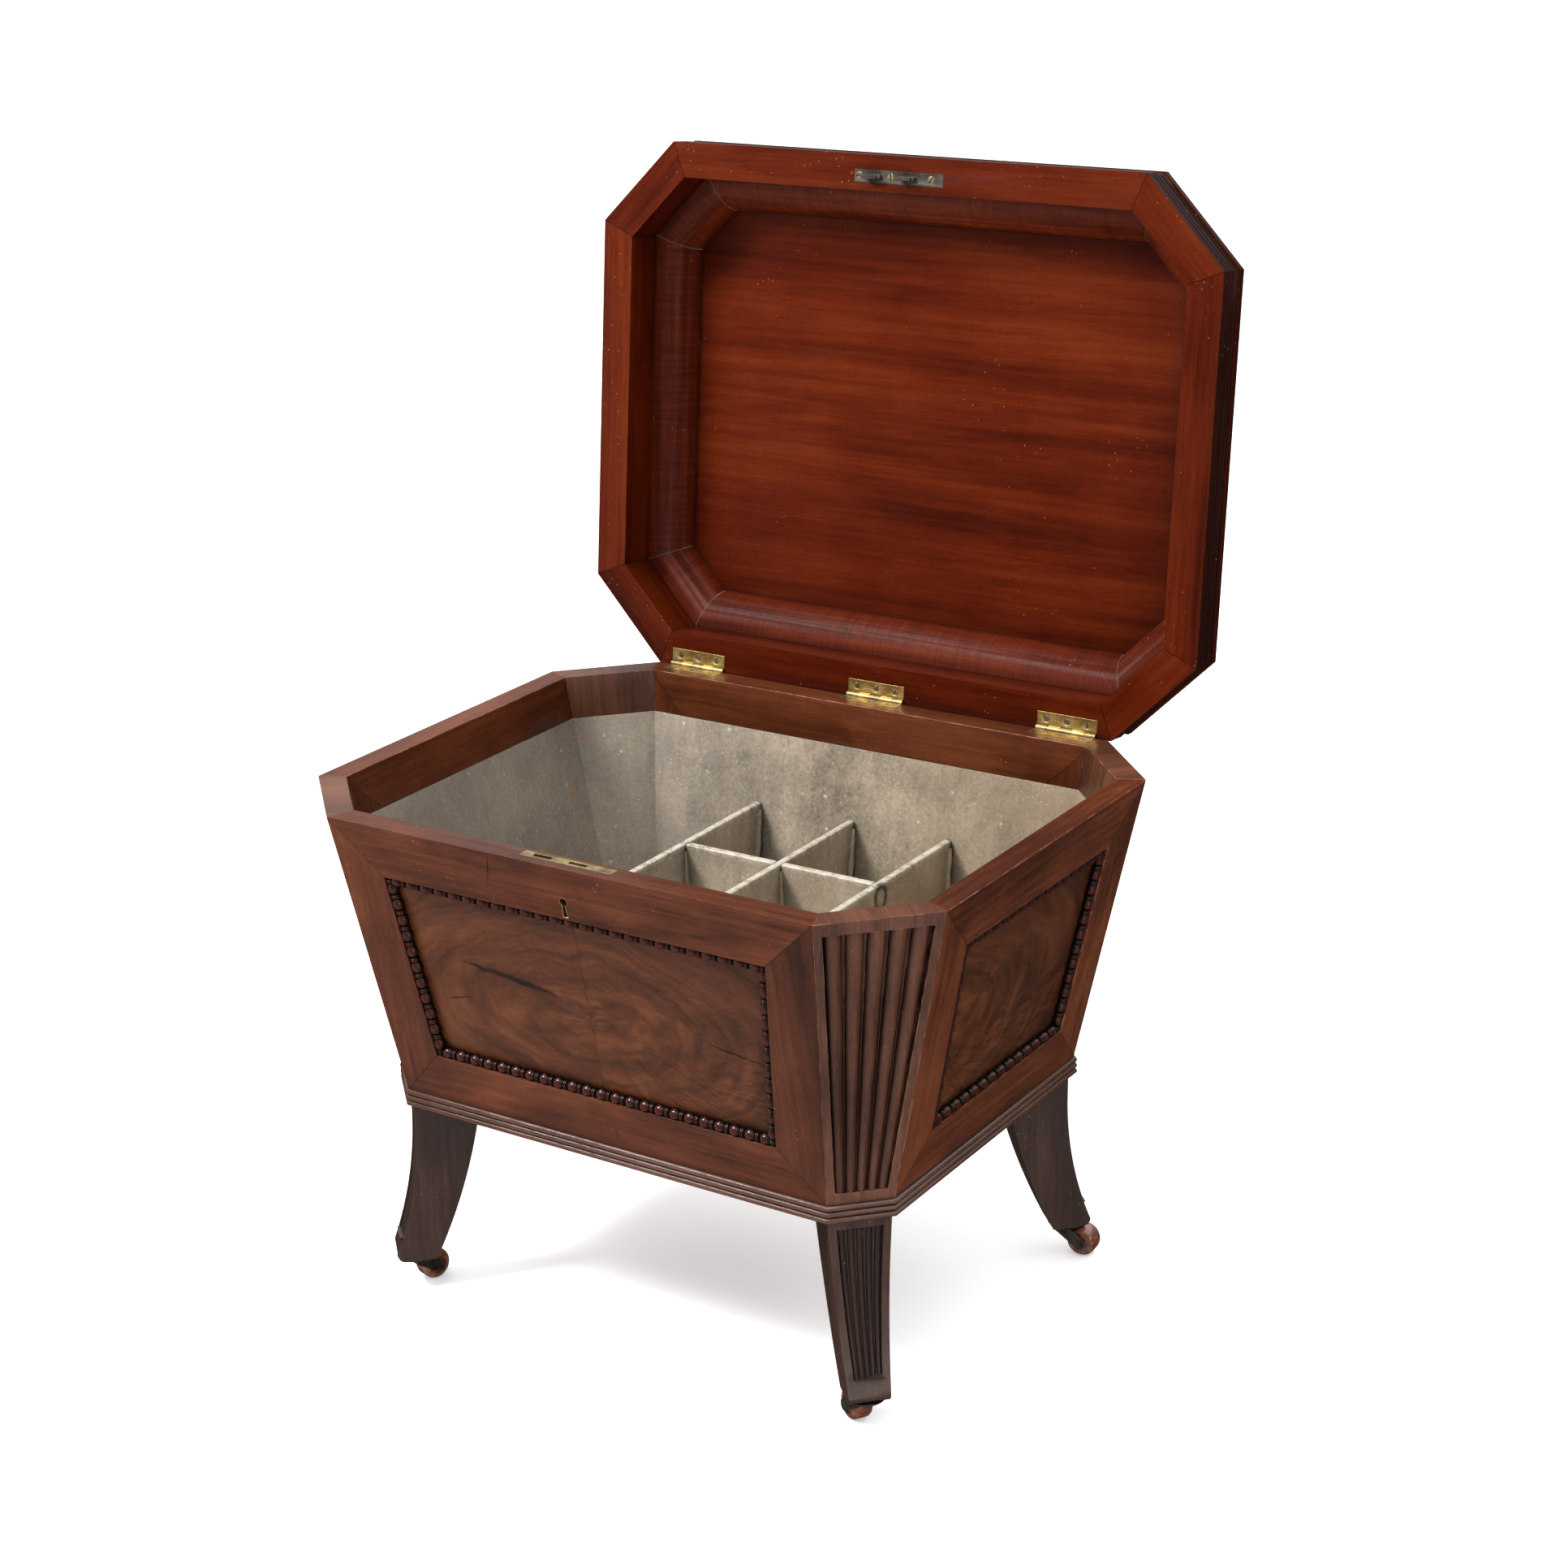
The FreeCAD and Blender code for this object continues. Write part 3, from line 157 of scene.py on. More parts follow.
def middle_of(side, level):
    """Middle of a side's outer edge at a level."""
    half_width, half_depth, cant = plan_at(level)
    out = outward(side)
    if side in FLAT_SIDES:
        return Vector((out.x * half_width, out.y * half_depth, level))
    across = math.copysign(half_width - cant / 2, out.x)
    return Vector((across, math.copysign(half_depth - cant / 2, out.y), level))


def half_length(side, level):
    half_width, half_depth, cant = plan_at(level)
    if side in ("front", "back"):
        return half_width - cant
    if side in ("right", "left"):
        return half_depth - cant
    return cant / math.sqrt(2)


class Face:
    """One sloping side of the chest, with places given by across, down the slope and inwards."""

    def __init__(self, side):
        self.out = outward(side)
        self.across = UP.cross(self.out)
        self.start = middle_of(side, RIM_LEVEL)
        fall = middle_of(side, BASE_LEVEL) - self.start
        self.shift = fall.dot(self.across)
        slope = fall - self.across * self.shift
        self.run = slope.length
        self.down = slope.normalized()
        self.normal = self.across.cross(-self.down)
        self.rim_half = half_length(side, RIM_LEVEL)
        self.base_half = half_length(side, BASE_LEVEL)

    def at(self, across, down, inwards=0.0):
        return self.start + self.across * across + self.down * down - self.normal * inwards

    def local(self, point):
        """How far across and down the slope a point is."""
        step = point - self.start
        return step.dot(self.across), step.dot(self.down)

    def half_at(self, down):
        return self.rim_half + (self.base_half - self.rim_half) * down / self.run

    def panel_corners(self):
        """Corners of the sunk panel as (across, down), clockwise from the top left."""
        base = self.run - PANEL_BASE
        high, low = self.half_at(PANEL_TOP) - PANEL_SIDE, self.half_at(base) - PANEL_SIDE
        return [(-high, PANEL_TOP), (high, PANEL_TOP), (low, base), (-low, base)]

    def outer_corners(self):
        high, low = self.rim_half, self.base_half
        return [(-high, 0), (high, 0), (low, self.run), (-low, self.run)]


FACES = {side: Face(side) for side in SIDES}


# ---- Bench tools ----


def clear_selection():
    if bpy.context.object and bpy.context.object.mode != "OBJECT":
        bpy.ops.object.mode_set(mode="OBJECT")
    bpy.ops.object.select_all(action="DESELECT")


def take(piece):
    """Make one piece the only selected and active one."""
    clear_selection()
    piece.select_set(True)
    bpy.context.view_layer.objects.active = piece
    return piece


def primitive(kind, name, **settings):
    clear_selection()
    getattr(bpy.ops.mesh, f"primitive_{kind}_add")(**settings)
    piece = bpy.context.object
    piece.name = name
    return piece


def settle(piece, matrix=None):
    """Put a piece's place into its mesh."""
    take(piece)
    if matrix is not None:
        piece.matrix_world = matrix @ piece.matrix_world
    bpy.ops.object.transform_apply(location=True, rotation=True, scale=True)
    return piece


def modify(piece, kind, **settings):
    take(piece)
    modifier = piece.modifiers.new(kind.title(), kind)
    for name, setting in settings.items():
        setattr(modifier, name, setting)
    bpy.ops.object.modifier_apply(modifier=modifier.name)
    return piece


def editing(piece):
    take(piece)
    bpy.ops.object.mode_set(mode="EDIT")
    bpy.ops.mesh.select_mode(type="FACE")


def select_faces(piece, wanted):
    """In edit mode, select the faces whose centre and normal pass a test."""
    built = bmesh.from_edit_mesh(piece.data)
    bpy.ops.mesh.select_all(action="DESELECT")
    built.faces.ensure_lookup_table()
    for face in built.faces:
        face.select_set(wanted(face.calc_center_median(), face.normal))
    bmesh.update_edit_mesh(piece.data)


def copy_of_node(node, name):
    """A merged copy of a frame node, its flat faces whole."""
    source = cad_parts[node]
    piece = bpy.data.objects.new(name, source.data.copy())
    bpy.context.scene.collection.objects.link(piece)
    piece.data.materials.clear()
    editing(piece)
    bpy.ops.mesh.select_all(action="SELECT")
    bpy.ops.mesh.remove_doubles(threshold=TIGHT)
    bpy.ops.mesh.dissolve_limited(angle_limit=math.radians(FLAT_ANGLE))
    bpy.ops.object.mode_set(mode="OBJECT")
    return piece


def cut_across(piece, planes):
    """Score the whole piece along planes given as (point, normal)."""
    editing(piece)
    for point, normal in planes:
        bpy.ops.mesh.select_all(action="SELECT")
        bpy.ops.mesh.bisect(plane_co=point, plane_no=normal)
    bpy.ops.object.mode_set(mode="OBJECT")


def smooth(piece, angle):
    take(piece)
    bpy.ops.object.shade_smooth_by_angle(angle=math.radians(angle))
    return piece


def round_edges(piece, width, segments=2, angle=35):
    """Ease the sharp edges and mark them, so that the finish can wear them."""
    smooth(piece, angle)
    slots = piece.data.materials
    while len(slots) < 2:
        slots.append(bpy.data.materials.get("Bench") or bpy.data.materials.new("Bench"))
    modify(
        piece,
        "BEVEL",
        width=width,
        segments=segments,
        limit_method="ANGLE",
        angle_limit=math.radians(angle),
        harden_normals=True,
        material=1,
    )
    worn = piece.data.attributes.new("edge", "FLOAT", "FACE")
    for face in piece.data.polygons:
        worn.data[face.index].value = float(face.material_index)
        face.material_index = 0
    slots.clear()


def joined(parts, name):
    clear_selection()
    for part in parts:
        part.select_set(True)
    bpy.context.view_layer.objects.active = parts[0]
    if len(parts) > 1:
        bpy.ops.object.join()
    parts[0].name = name
    return parts[0]


def stamped(master, matrix):
    """A copy of a master piece, with its own mesh, put in place."""
    copy = bpy.data.objects.new(master.name, master.data.copy())
    bpy.context.scene.collection.objects.link(copy)
    copy.data.transform(matrix)
    return copy


def discard(piece):
    bpy.data.objects.remove(piece)


def lay_grain(piece, rule):
    """Give every face the direction of its grain and its distance from the joints.

    rule(centre, normal) returns the origin, the direction along the grain, the direction
    across it and two joint planes, each as (point, normal).
    """
    mesh = piece.data
    grain = mesh.uv_layers.get("grain") or mesh.uv_layers.new(name="grain")
    joint = mesh.uv_layers.get("joint") or mesh.uv_layers.new(name="joint")
    for face in mesh.polygons:
        origin, along, across, joints = rule(face.center, face.normal)
        for loop in face.loop_indices:
            point = mesh.vertices[mesh.loops[loop].vertex_index].co
            step = point - origin
            grain.data[loop].uv = (step.dot(along), step.dot(across))
            if joints:
                joint.data[loop].uv = [(point - spot).dot(normal) for spot, normal in joints]
            else:
                joint.data[loop].uv = (1, 1)


def finish_piece(piece, kind, body, slot, *replaced):
    piece.data.materials.clear()
    piece.data.materials.append(finish_for(kind))
    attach(piece, body)
    if replaced:
        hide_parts(*replaced)
    return piece


def dress(
    node, name, kind, slot, grain=None, body="chest", width=0.0, cuts=(), sinks=None, **rounding
):
    """A frame node's own form: scored, countersunk, its edges eased, grained and finished."""
    piece = copy_of_node(node, name)
    if cuts:
        cut_across(piece, cuts)
    if sinks:
        countersink(piece, *sinks)
    if width:
        round_edges(piece, width, **rounding)
    if grain:
        lay_grain(piece, grain)
    return finish_piece(piece, kind, body, slot, node)


def shade_by(piece, level_of):
    """Darken the faces of a piece by level_of(centre, normal), from nought to one."""
    soot = piece.data.attributes.new("soot", "FLOAT", "FACE")
    for face in piece.data.polygons:
        soot.data[face.index].value = level_of(face.center, face.normal)


# ---- Directions of grain ----

# How far apart in the plank neighbouring pieces were cut, so that each shows grain of its own.
BOARD_STEP, SIDE_STEP = 0.53, 0.37
PILASTER_STEP, REED_STEP = 0.41, 0.37
LEG_STEP, LEG_REED_STEP = 0.6, 0.7
# Where the parts of a board's frame were cut along their grain, and how far its stiles lean.
TOP_RAIL, BASE_RAIL, LEFT_STILE, RIGHT_STILE = 0.9, 1.7, 1.3, 2.1
STILE_LEAN = 0.09
# A face looks along a direction when its normal's share of it is above this.
FACING = 0.6


def across_from(normal, along):
    side = normal.cross(along)
    if side.length < 0.2:
        side = UP.cross(along)
    if side.length < 0.2:
        side = Vector((1, 0, 0)).cross(along)
    return side.normalized()


def straight_grain(origin, along, across=None):
    def rule(centre, normal):
        return origin, along, across or across_from(normal, along), None

    return rule


def ring_reach(plan, side):
    """How far a side of an octagonal plan is from the middle."""
    half_width, half_depth, cant = plan
    if side in ("front", "back"):
        return half_depth
    if side in ("right", "left"):
        return half_width
    return (half_width + half_depth - cant) / math.sqrt(2)


def ring_grain(plan, shift, back=None):
    """Grain that runs round an octagonal ring, with a mitre at each corner."""
    reach = {side: ring_reach(plan, side) for side in SIDES}
    turn = back or Matrix()
    undo = turn.inverted()
    forth = undo.to_3x3()

    def rule(centre, normal):
        flat = turn @ centre
        side = max(SIDES, key=lambda side: flat.dot(outward(side)) - reach[side])
        index = SIDES.index(side)
        out = outward(side)
        along = forth @ UP.cross(out)
        joints = []
        for other in (SIDES[index - 1], SIDES[(index + 1) % len(SIDES)]):
            between = out - outward(other)
            spot = between * ((reach[side] - reach[other]) / between.length_squared)
            joints.append((undo @ spot, forth @ between.normalized()))
        origin = undo.translation + along * (shift + index * SIDE_STEP)
        return origin, along, across_from(normal, along), joints

    return rule


def cove_grain(plan, shift, back, radius):
    """Grain round the lid's hollow, measured along its arc from side to side."""
    ring = ring_grain(plan, shift, back)

    def rule(centre, normal):
        origin, along, across, joints = ring(centre, normal)
        rise = (back.to_3x3() @ normal).z
        bend = radius * math.acos(min(1.0, abs(rise))) * (1 if rise < 0 else -1)
        origin = centre - along * (centre - origin).dot(along) + across * bend
        return origin, along, across, joints

    return rule


def frame_grain(face, shift):
    """Grain of a board's face frame: rails run level, stiles run with the slope."""
    outer = face.outer_corners()
    inner = face.panel_corners()
    lines = []
    for (x0, y0), (x1, y1) in zip(outer, inner):
        start, end = face.at(x0, y0), face.at(x1, y1)
        lines.append((start, (end - start).cross(face.normal).normalized()))
    middle = face.run / 2

    def rule(centre, normal):
        across, down = face.local(centre)
        left, high = across < 0, down < middle
        corner = (0 if left else 1) if high else (3 if left else 2)
        (x0, y0), (x1, y1) = outer[corner], inner[corner]
        cross = (x1 - x0) * (down - y0) - (y1 - y0) * (across - x0)
        rail = cross < 0 if corner in (0, 2) else cross > 0
        if rail:
            along, rest = face.across, face.down
            joints = lines[:2] if high else lines[2:]
            origin = face.at((TOP_RAIL if high else BASE_RAIL) + shift, 0)
        else:
            lean = STILE_LEAN if left else -STILE_LEAN
            along, rest = (face.down + face.across * lean).normalized(), face.across
            joints = [lines[0], lines[3]] if left else [lines[1], lines[2]]
            origin = face.at(0, (LEFT_STILE if left else RIGHT_STILE) + shift)
        if abs(normal.dot(face.normal)) < FACING:
            rest = across_from(normal, along)
        return origin, along, rest, joints

    return rule, lines


# ---- Finishes ----

SEAM_WIDTH = 0.0008

# Cracks, as (start, end, half width): in the rails by X and Z, in the veneer from its middle.
RAIL_CRACKS = (
    ((-0.0785, 0.5215), (-0.085, 0.488), 0.0012),
    ((0.012, 0.25), (0.0135, 0.236), 0.0008),
)
PANEL_CRACKS = (
    ((-0.152, 0.0195), (-0.0227, 0.0027), 0.0042),
    ((-0.173, -0.0306), (-0.135, -0.0215), 0.0012),
    ((0.115, -0.003), (0.2, -0.019), 0.0014),
)
PALE_DUST = (0.36, 0.28, 0.2)

# Round solder patch on the right partition: its middle and its half sizes, as (Y, Z).
SOLDER_PATCH = (0.0836, 0.393)
PATCH_SIZE = (0.0095, 0.0125)


def summed(operation, swapped=False):
    """An operator of Value, done by a Math node."""
    return lambda self, other: self.sum(operation, *((other, self) if swapped else (self, other)))


class Value:
    """A node's output that takes part in sums: each operator adds its Math node."""

    def __init__(self, finish, socket):
        self.finish = finish
        self.socket = socket

    def sum(self, operation, *terms, clamp=False):
        settings = {"operation": operation, "use_clamp": clamp}
        return self.finish.node("ShaderNodeMath", settings, *terms)

    __add__ = __radd__ = summed("ADD")
    __mul__ = __rmul__ = summed("MULTIPLY")
    __sub__ = summed("SUBTRACT")
    __rsub__ = summed("SUBTRACT", swapped=True)
    __truediv__ = summed("DIVIDE")
    __pow__ = summed("POWER")
    __gt__ = summed("GREATER_THAN")
    __lt__ = summed("LESS_THAN")
    lesser = summed("MINIMUM")

    def __abs__(self):
        return self.sum("ABSOLUTE", self)

    def held(self):
        """Kept between nought and one."""
        return self.sum("ADD", self, 0, clamp=True)

    def between(self, low, high):
        """Nought below low, one above high, and even between."""
        return ((self - low) / (high - low)).held()


class Finish:
    """A material whose nodes are written as expressions."""

    def __init__(self, name, **even):
        self.material = bpy.data.materials.new(name)
        self.material.use_nodes = True
        self.tree = self.material.node_tree
        self.shader = self.tree.nodes["Principled BSDF"]
        for socket, value in even.items():
            self.shader.inputs[socket.replace("_", " ")].default_value = value

    def join(self, socket, term):
        if isinstance(term, Value):
            self.tree.links.new(term.socket, socket)
        else:
            socket.default_value = term

    def node(self, kind, settings=None, *terms, pick=0, **named):
        node = self.tree.nodes.new(kind)
        for name, setting in (settings or {}).items():
            if name == "stops":
                ramp = node.color_ramp
                while len(ramp.elements) < len(setting):
                    ramp.elements.new(0.5)
                for element, (place, colour) in zip(ramp.elements, setting):
                    element.position = place
                    element.color = (*colour, 1)
            else:
                setattr(node, name, setting)
        for index, term in enumerate(terms):
            self.join(node.inputs[index], term)
        for name, term in named.items():
            self.join(node.inputs[name.replace("_", " ")], term)
        return Value(self, node.outputs[pick])

    def uv(self, layer):
        return self.node("ShaderNodeUVMap", {"uv_map": layer})

    def place(self):
        """Position on the object, in metres."""
        return self.node("ShaderNodeTexCoord", pick=3)

    def parts(self, vector):
        split = self.node("ShaderNodeSeparateXYZ", None, vector)
        outputs = split.socket.node.outputs
        return [Value(self, outputs[index]) for index in range(3)]

    def vector(self, x, y, z=0.0):
        return self.node("ShaderNodeCombineXYZ", None, x, y, z)

    def stretch(self, vector, scale, shift=(0, 0, 0)):
        return self.node("ShaderNodeMapping", None, vector, Scale=scale, Location=shift)

    def noise(self, vector, scale=1.0, detail=3.0, rough=0.5, warp=0.0, space="2D"):
        given = {"Scale": scale, "Detail": detail, "Roughness": rough, "Distortion": warp}
        settings = {"noise_dimensions": space}
        return self.node("ShaderNodeTexNoise", settings, Vector=vector, **given)

    def cloud(self, place, *settings):
        """Noise in space."""
        return self.noise(place, *settings, space="3D")

    def drawn(self, flat, along, across, **settings):
        """Flat noise drawn out by two scales."""
        return self.noise(self.stretch(flat, (along, across, 1)), **settings)

    def spots(self, place, scale, size, patches, dim, bright):
        """Scattered round spots of a size, kept to where a cloud is bright."""
        near = self.node("ShaderNodeTexVoronoi", None, Vector=place, Scale=scale)
        return (1 - near.between(*size)) * self.cloud(place, *patches).between(dim, bright)

    def ramp(self, value, *stops):
        return self.node("ShaderNodeValToRGB", {"stops": stops}, value)

    def mix(self, factor, first, second, how="MIX"):
        node = self.tree.nodes.new("ShaderNodeMix")
        node.data_type, node.blend_type = "RGBA", how
        for index, term in ((0, factor), (6, first), (7, second)):
            if index and not isinstance(term, Value):
                term = (*term, 1)
            self.join(node.inputs[index], term)
        return Value(self, node.outputs[2])

    def shade(self, colour, factor):
        """Colour darkened by a factor from nought to one."""
        level = self.node("ShaderNodeCombineColor", None, factor, factor, factor)
        return self.mix(1.0, colour, level, "MULTIPLY")

    def attribute(self, name):
        return self.node("ShaderNodeAttribute", {"attribute_name": name}, pick=2)

    def hollows(self, distance, samples=6):
        """Openness of the surface: nought deep in a hollow, one in the open."""
        settings = {"samples": samples}
        return self.node("ShaderNodeAmbientOcclusion", settings, Distance=distance, pick=1)

    def bump(self, height, depth, strength=1.0):
        return self.node("ShaderNodeBump", None, Height=height, Distance=depth, Strength=strength)

    def line(self, flat, start, end, width, wander):
        """A wavering line between two places: one along it, nought beside it, thin at its ends."""
        across, up, _ = self.parts(flat)
        run = Vector(end) - Vector(start)
        reach = run.length
        run.normalize()
        share = ((across - start[0]) * run.x + (up - start[1]) * run.y) / reach
        off = (up - start[1]) * run.x - (across - start[0]) * run.y + wander
        taper = (share * (1 - share) * 4).held()
        return ((taper - abs(off) / width) * 2.5).held()

    def use(self, **links):
        for socket, value in links.items():
            self.join(self.shader.inputs[socket.replace("_", " ")], value)
        return self.material


def mahogany(
    name,
    deep,
    mid,
    pale,
    worn,
    rough,
    gloss,
    wear=0.5,
    bands=(2.4, 13),
    streaks=(7, 170),
    ripple=0.0,
    grime=0.6,
    reach=0.012,
    coat=0.05,
    blotch=0.3,
    cracks=(),
    dust=0.0,
    nicked=0.56,
):
    """Straight-grained mahogany: slow bands, streaks and pores along the grain, worn edges, and
    painted shade with grime in the hollows.
    """
    finish = Finish(name, Coat_Roughness=0.14, Specular_IOR_Level=gloss)
    grain = finish.uv("grain")
    place = finish.place()
    joint_a, joint_b, _ = finish.parts(finish.uv("joint"))
    drift = finish.drawn(grain, *bands, detail=5, rough=0.6, warp=0.5)
    streak = finish.drawn(grain, *streaks, detail=5, rough=0.65)
    fine = finish.drawn(grain, 26, 950, detail=2)
    cloud = finish.cloud(place, 11, 4, 0.6)
    pores = finish.drawn(grain, 120, 2600, detail=1).between(0.6, 0.72)
    tone = drift * 0.58 + streak * 0.3 + fine * 0.12 + (cloud - 0.5) * blotch
    if ripple:
        waves = finish.drawn(grain, 330, 14, detail=2, warp=0.6)
        tone = tone + (waves - 0.5) * ripple
    colour = finish.ramp(tone, (0.34, deep), (0.5, mid), (0.68, pale))
    colour = finish.shade(colour, 1 - pores * 0.4)
    # Painted shade and grime: darker where the surface is hemmed in, by the occlusion within reach.
    open_air = finish.hollows(reach)
    hollow_shade_and_grime = 1 - (1 - open_air**1.3) * grime
    seam = 1 - (abs(joint_a).lesser(abs(joint_b)) / SEAM_WIDTH).held()
    colour = finish.shade(colour, hollow_shade_and_grime * (1 - seam * 0.75))
    if dust:
        colour = finish.mix(seam * dust, colour, worn)
    wander = (finish.cloud(place, 45, 3, 0.7) - 0.5) * 0.006
    x, y, z = finish.parts(place)
    for start, end, width in cracks:
        crack = finish.line(finish.vector(x, z), start, end, width, wander) * (y < 0)
        colour = finish.shade(colour, 1 - crack * 0.7)
    # Faces darkened by their darkening attribute: painted shade on the front's stiles, and the dark
    # outer edge of the lid's rim.
    colour = finish.shade(colour, 1 - finish.attribute("soot"))
    scuff = finish.cloud(place, 55, 5, 0.7).between(0.46, 0.62)
    colour = finish.mix(finish.attribute("edge") * scuff * wear, colour, worn)
    nicks = finish.spots(place, 130, (0.06, 0.12), (14, 3, 0.6), nicked, nicked + 0.08)
    colour = finish.mix(nicks * 0.5, colour, worn)
    dull = rough + streak * 0.14 + (1 - open_air) * 0.3 + (cloud - 0.5) * 0.1
    height = streak * 0.5 + fine * 0.25 - pores * 0.6
    return finish.use(
        Base_Color=colour,
        Roughness=dull,
        Coat_Weight=open_air * coat,
        Normal=finish.bump(height, 0.00012, 0.5),
    )


def turned_wood(name, deep, pale, rough):
    """Polished turned beads: painted shade makes them black in the hollows, red-brown on the open,
    rubbed surfaces.
    """
    finish = Finish(name, Coat_Roughness=0.06, Specular_IOR_Level=0.14)
    place = finish.place()
    cloud = finish.cloud(place, 130, 3, 0.6)
    open_air = finish.hollows(0.008, 8)
    # Painted shade: black where the beads are hemmed in, red-brown on their open, rubbed surfaces.
    colour = finish.ramp(open_air + (cloud - 0.5) * 0.25, (0.82, deep), (1.04, pale))
    return finish.use(
        Base_Color=colour,
        Roughness=rough + (1 - open_air) * 0.6,
        Coat_Weight=open_air.between(0.6, 1.0) * 0.4,
        Normal=finish.bump(cloud, 0.0003, 0.4),
    )


def flame(name, deep, mid, pale, rough, centre, seams=True, cracks=()):
    """Crotch veneer laid in mirrored leaves: long ovals round a centre, ripples across them."""
    finish = Finish(name, Coat_Roughness=0.14, Specular_IOR_Level=0.18)
    grain = finish.uv("grain")
    across, up, _ = finish.parts(grain)
    across = across - centre[0]
    up = up - centre[1]
    flat = finish.vector(across, up)
    wander = finish.drawn(flat, 8, 11, detail=4, rough=0.6)
    drift = finish.noise(finish.stretch(flat, (5, 7, 1), (3, 5, 0)), detail=2)
    side = abs(across + (drift - 0.5) * 0.02) * 0.5
    rise = up + (wander - 0.5) * 0.045
    reach = (side * side + rise * rise) ** 0.5
    turn = finish.node("ShaderNodeMath", {"operation": "ARCTAN2"}, rise, side)
    half = (across > 0) * 4.0

    def rings(turned, out, **settings):
        """Noise laid round the centre, by turn and by reach."""
        return finish.noise(finish.vector(turned, reach * out), detail=3, **settings)

    broad = rings(turn * 1.2 + half, 55, rough=0.5, warp=0.25)
    plume = rings(turn * 2.2 + half, 190, rough=0.6, warp=0.3)
    ripple = rings(turn * 17 + drift * 6, 22, rough=0.55, warp=1.6)
    fine = finish.drawn(flat, 70, 500, detail=3, rough=0.7)
    curly = across.between(0.0, 0.05) * (0 - rise).between(-0.01, 0.03) * reach.between(0.02, 0.05)
    curly = reach.between(0.01, 0.05) * 0.12 + curly * 0.5
    tone = broad * 0.6 + plume * 0.4 + (ripple - 0.5) * curly + (fine - 0.5) * 0.22
    tone = tone - across.between(0.05, 0.22) * 0.09
    colour = finish.ramp(tone, (0.3, deep), (0.5, mid), (0.7, pale))
    # Painted shade: the veneer darkens where the border and beads hem it in.
    open_air = finish.hollows(0.03)
    colour = finish.shade(colour, 0.35 + open_air * 0.65)
    waver = (finish.noise(grain, 40, 4, 0.7) - 0.5) * 0.008
    for start, end, width in cracks:
        crack = finish.line(grain, start, end, width, waver)
        colour = finish.shade(colour, 1 - crack * 0.72)
    if seams:
        line = 1 - (abs(across + waver * 0.4) / 0.0007).held()
        colour = finish.shade(colour, 1 - line * 0.55)
    return finish.use(
        Base_Color=colour,
        Roughness=rough + plume * 0.12,
        Coat_Weight=open_air * 0.05,
        Normal=finish.bump(plume * 0.5 + fine * 0.5, 0.0001, 0.4),
    )


def sheet_lead(name, top=10.0, lift=0.0, patch=None):
    """Old sheet lead: cloudy grey, runs, pale spots and a chalky upper edge, with painted shade in
    the hollows and on the left, and painted light on the right.
    """
    finish = Finish(name, Metallic=0.25, Specular_IOR_Level=0.4)
    place = finish.place()
    place_x, place_y, height = finish.parts(place)
    cloud = finish.cloud(place, 9, 8, 0.62, 0.3)
    runs = finish.cloud(finish.stretch(place, (90, 90, 7)), 1, 4, 0.6)
    speck = finish.cloud(place, 260, 5, 0.75)
    tone = cloud * 0.5 + runs * 0.12 + speck * 0.4 + lift
    colour = finish.ramp(
        tone,
        (0.36, (0.07, 0.057, 0.04)),
        (0.49, (0.21, 0.17, 0.12)),
        (0.6, (0.34, 0.278, 0.195)),
        (0.74, (0.5, 0.43, 0.33)),
    )
    # Painted shade and light: greyer towards the left wall, which the key light misses, and warmer
    # and lighter towards the right, which it reaches.
    shaded_left = place_x.between(-0.05, -0.3) * 0.5
    colour = finish.mix(shaded_left, colour, (0.2, 0.18, 0.16))
    lit_right = place_x.between(0.0, 0.26) * 0.55
    colour = finish.mix(lit_right, colour, (0.26, 0.185, 0.11))
    pits = finish.spots(place, 75, (0.1, 0.2), (30, 2), 0.5, 0.6)
    colour = finish.mix(pits * 0.5, colour, (0.55, 0.52, 0.46))
    rust = finish.cloud(finish.stretch(place, (1, 1, 1), (3, 1, 7)), 38, 3, 0.6).between(0.69, 0.75)
    colour = finish.mix(rust * 0.6, colour, (0.3, 0.13, 0.045))
    dots = finish.spots(place, 210, (0.08, 0.16), (24, 2), 0.45, 0.6)
    colour = finish.mix(dots * 0.7, colour, (0.62, 0.57, 0.48))
    open_air = finish.hollows(0.03, 8)
    # Near-black patches kept to the hollows: part stains, part painted shade.
    stain_and_shade = finish.cloud(finish.stretch(place, (1, 1, 0.45)), 42, 4, 0.65).between(0.44, 0.53)
    stain_and_shade = stain_and_shade * (1 - open_air.between(0.3, 0.75))
    colour = finish.mix(stain_and_shade * 0.85, colour, (0.022, 0.018, 0.013))
    chalk = (speck * 0.5 + runs * 0.5).between(0.42, 0.54)
    chalk = height.between(top - 0.006, top - 0.001) * chalk
    colour = finish.mix(chalk * 0.85, colour, (0.5, 0.465, 0.4))
    if patch:
        aside = (place_y - patch[0]) / PATCH_SIZE[0]
        above = (height - patch[1]) / PATCH_SIZE[1]
        ring = (1 - abs((aside * aside + above * above) ** 0.5 - 1 + (speck - 0.5)) * 2.1).held()
        colour = finish.mix(ring * (place_x > PARTITION_PITCH), colour, (0.02, 0.015, 0.01))
    # Painted shade in the lead's corners and hollows.
    colour = finish.shade(colour, 0.3 + open_air * 0.7)
    return finish.use(
        Base_Color=colour,
        Roughness=0.5 + speck * 0.35,
        Normal=finish.bump(cloud * 0.6 + speck * 0.25 + runs * 0.2, 0.0012, 0.5),
    )


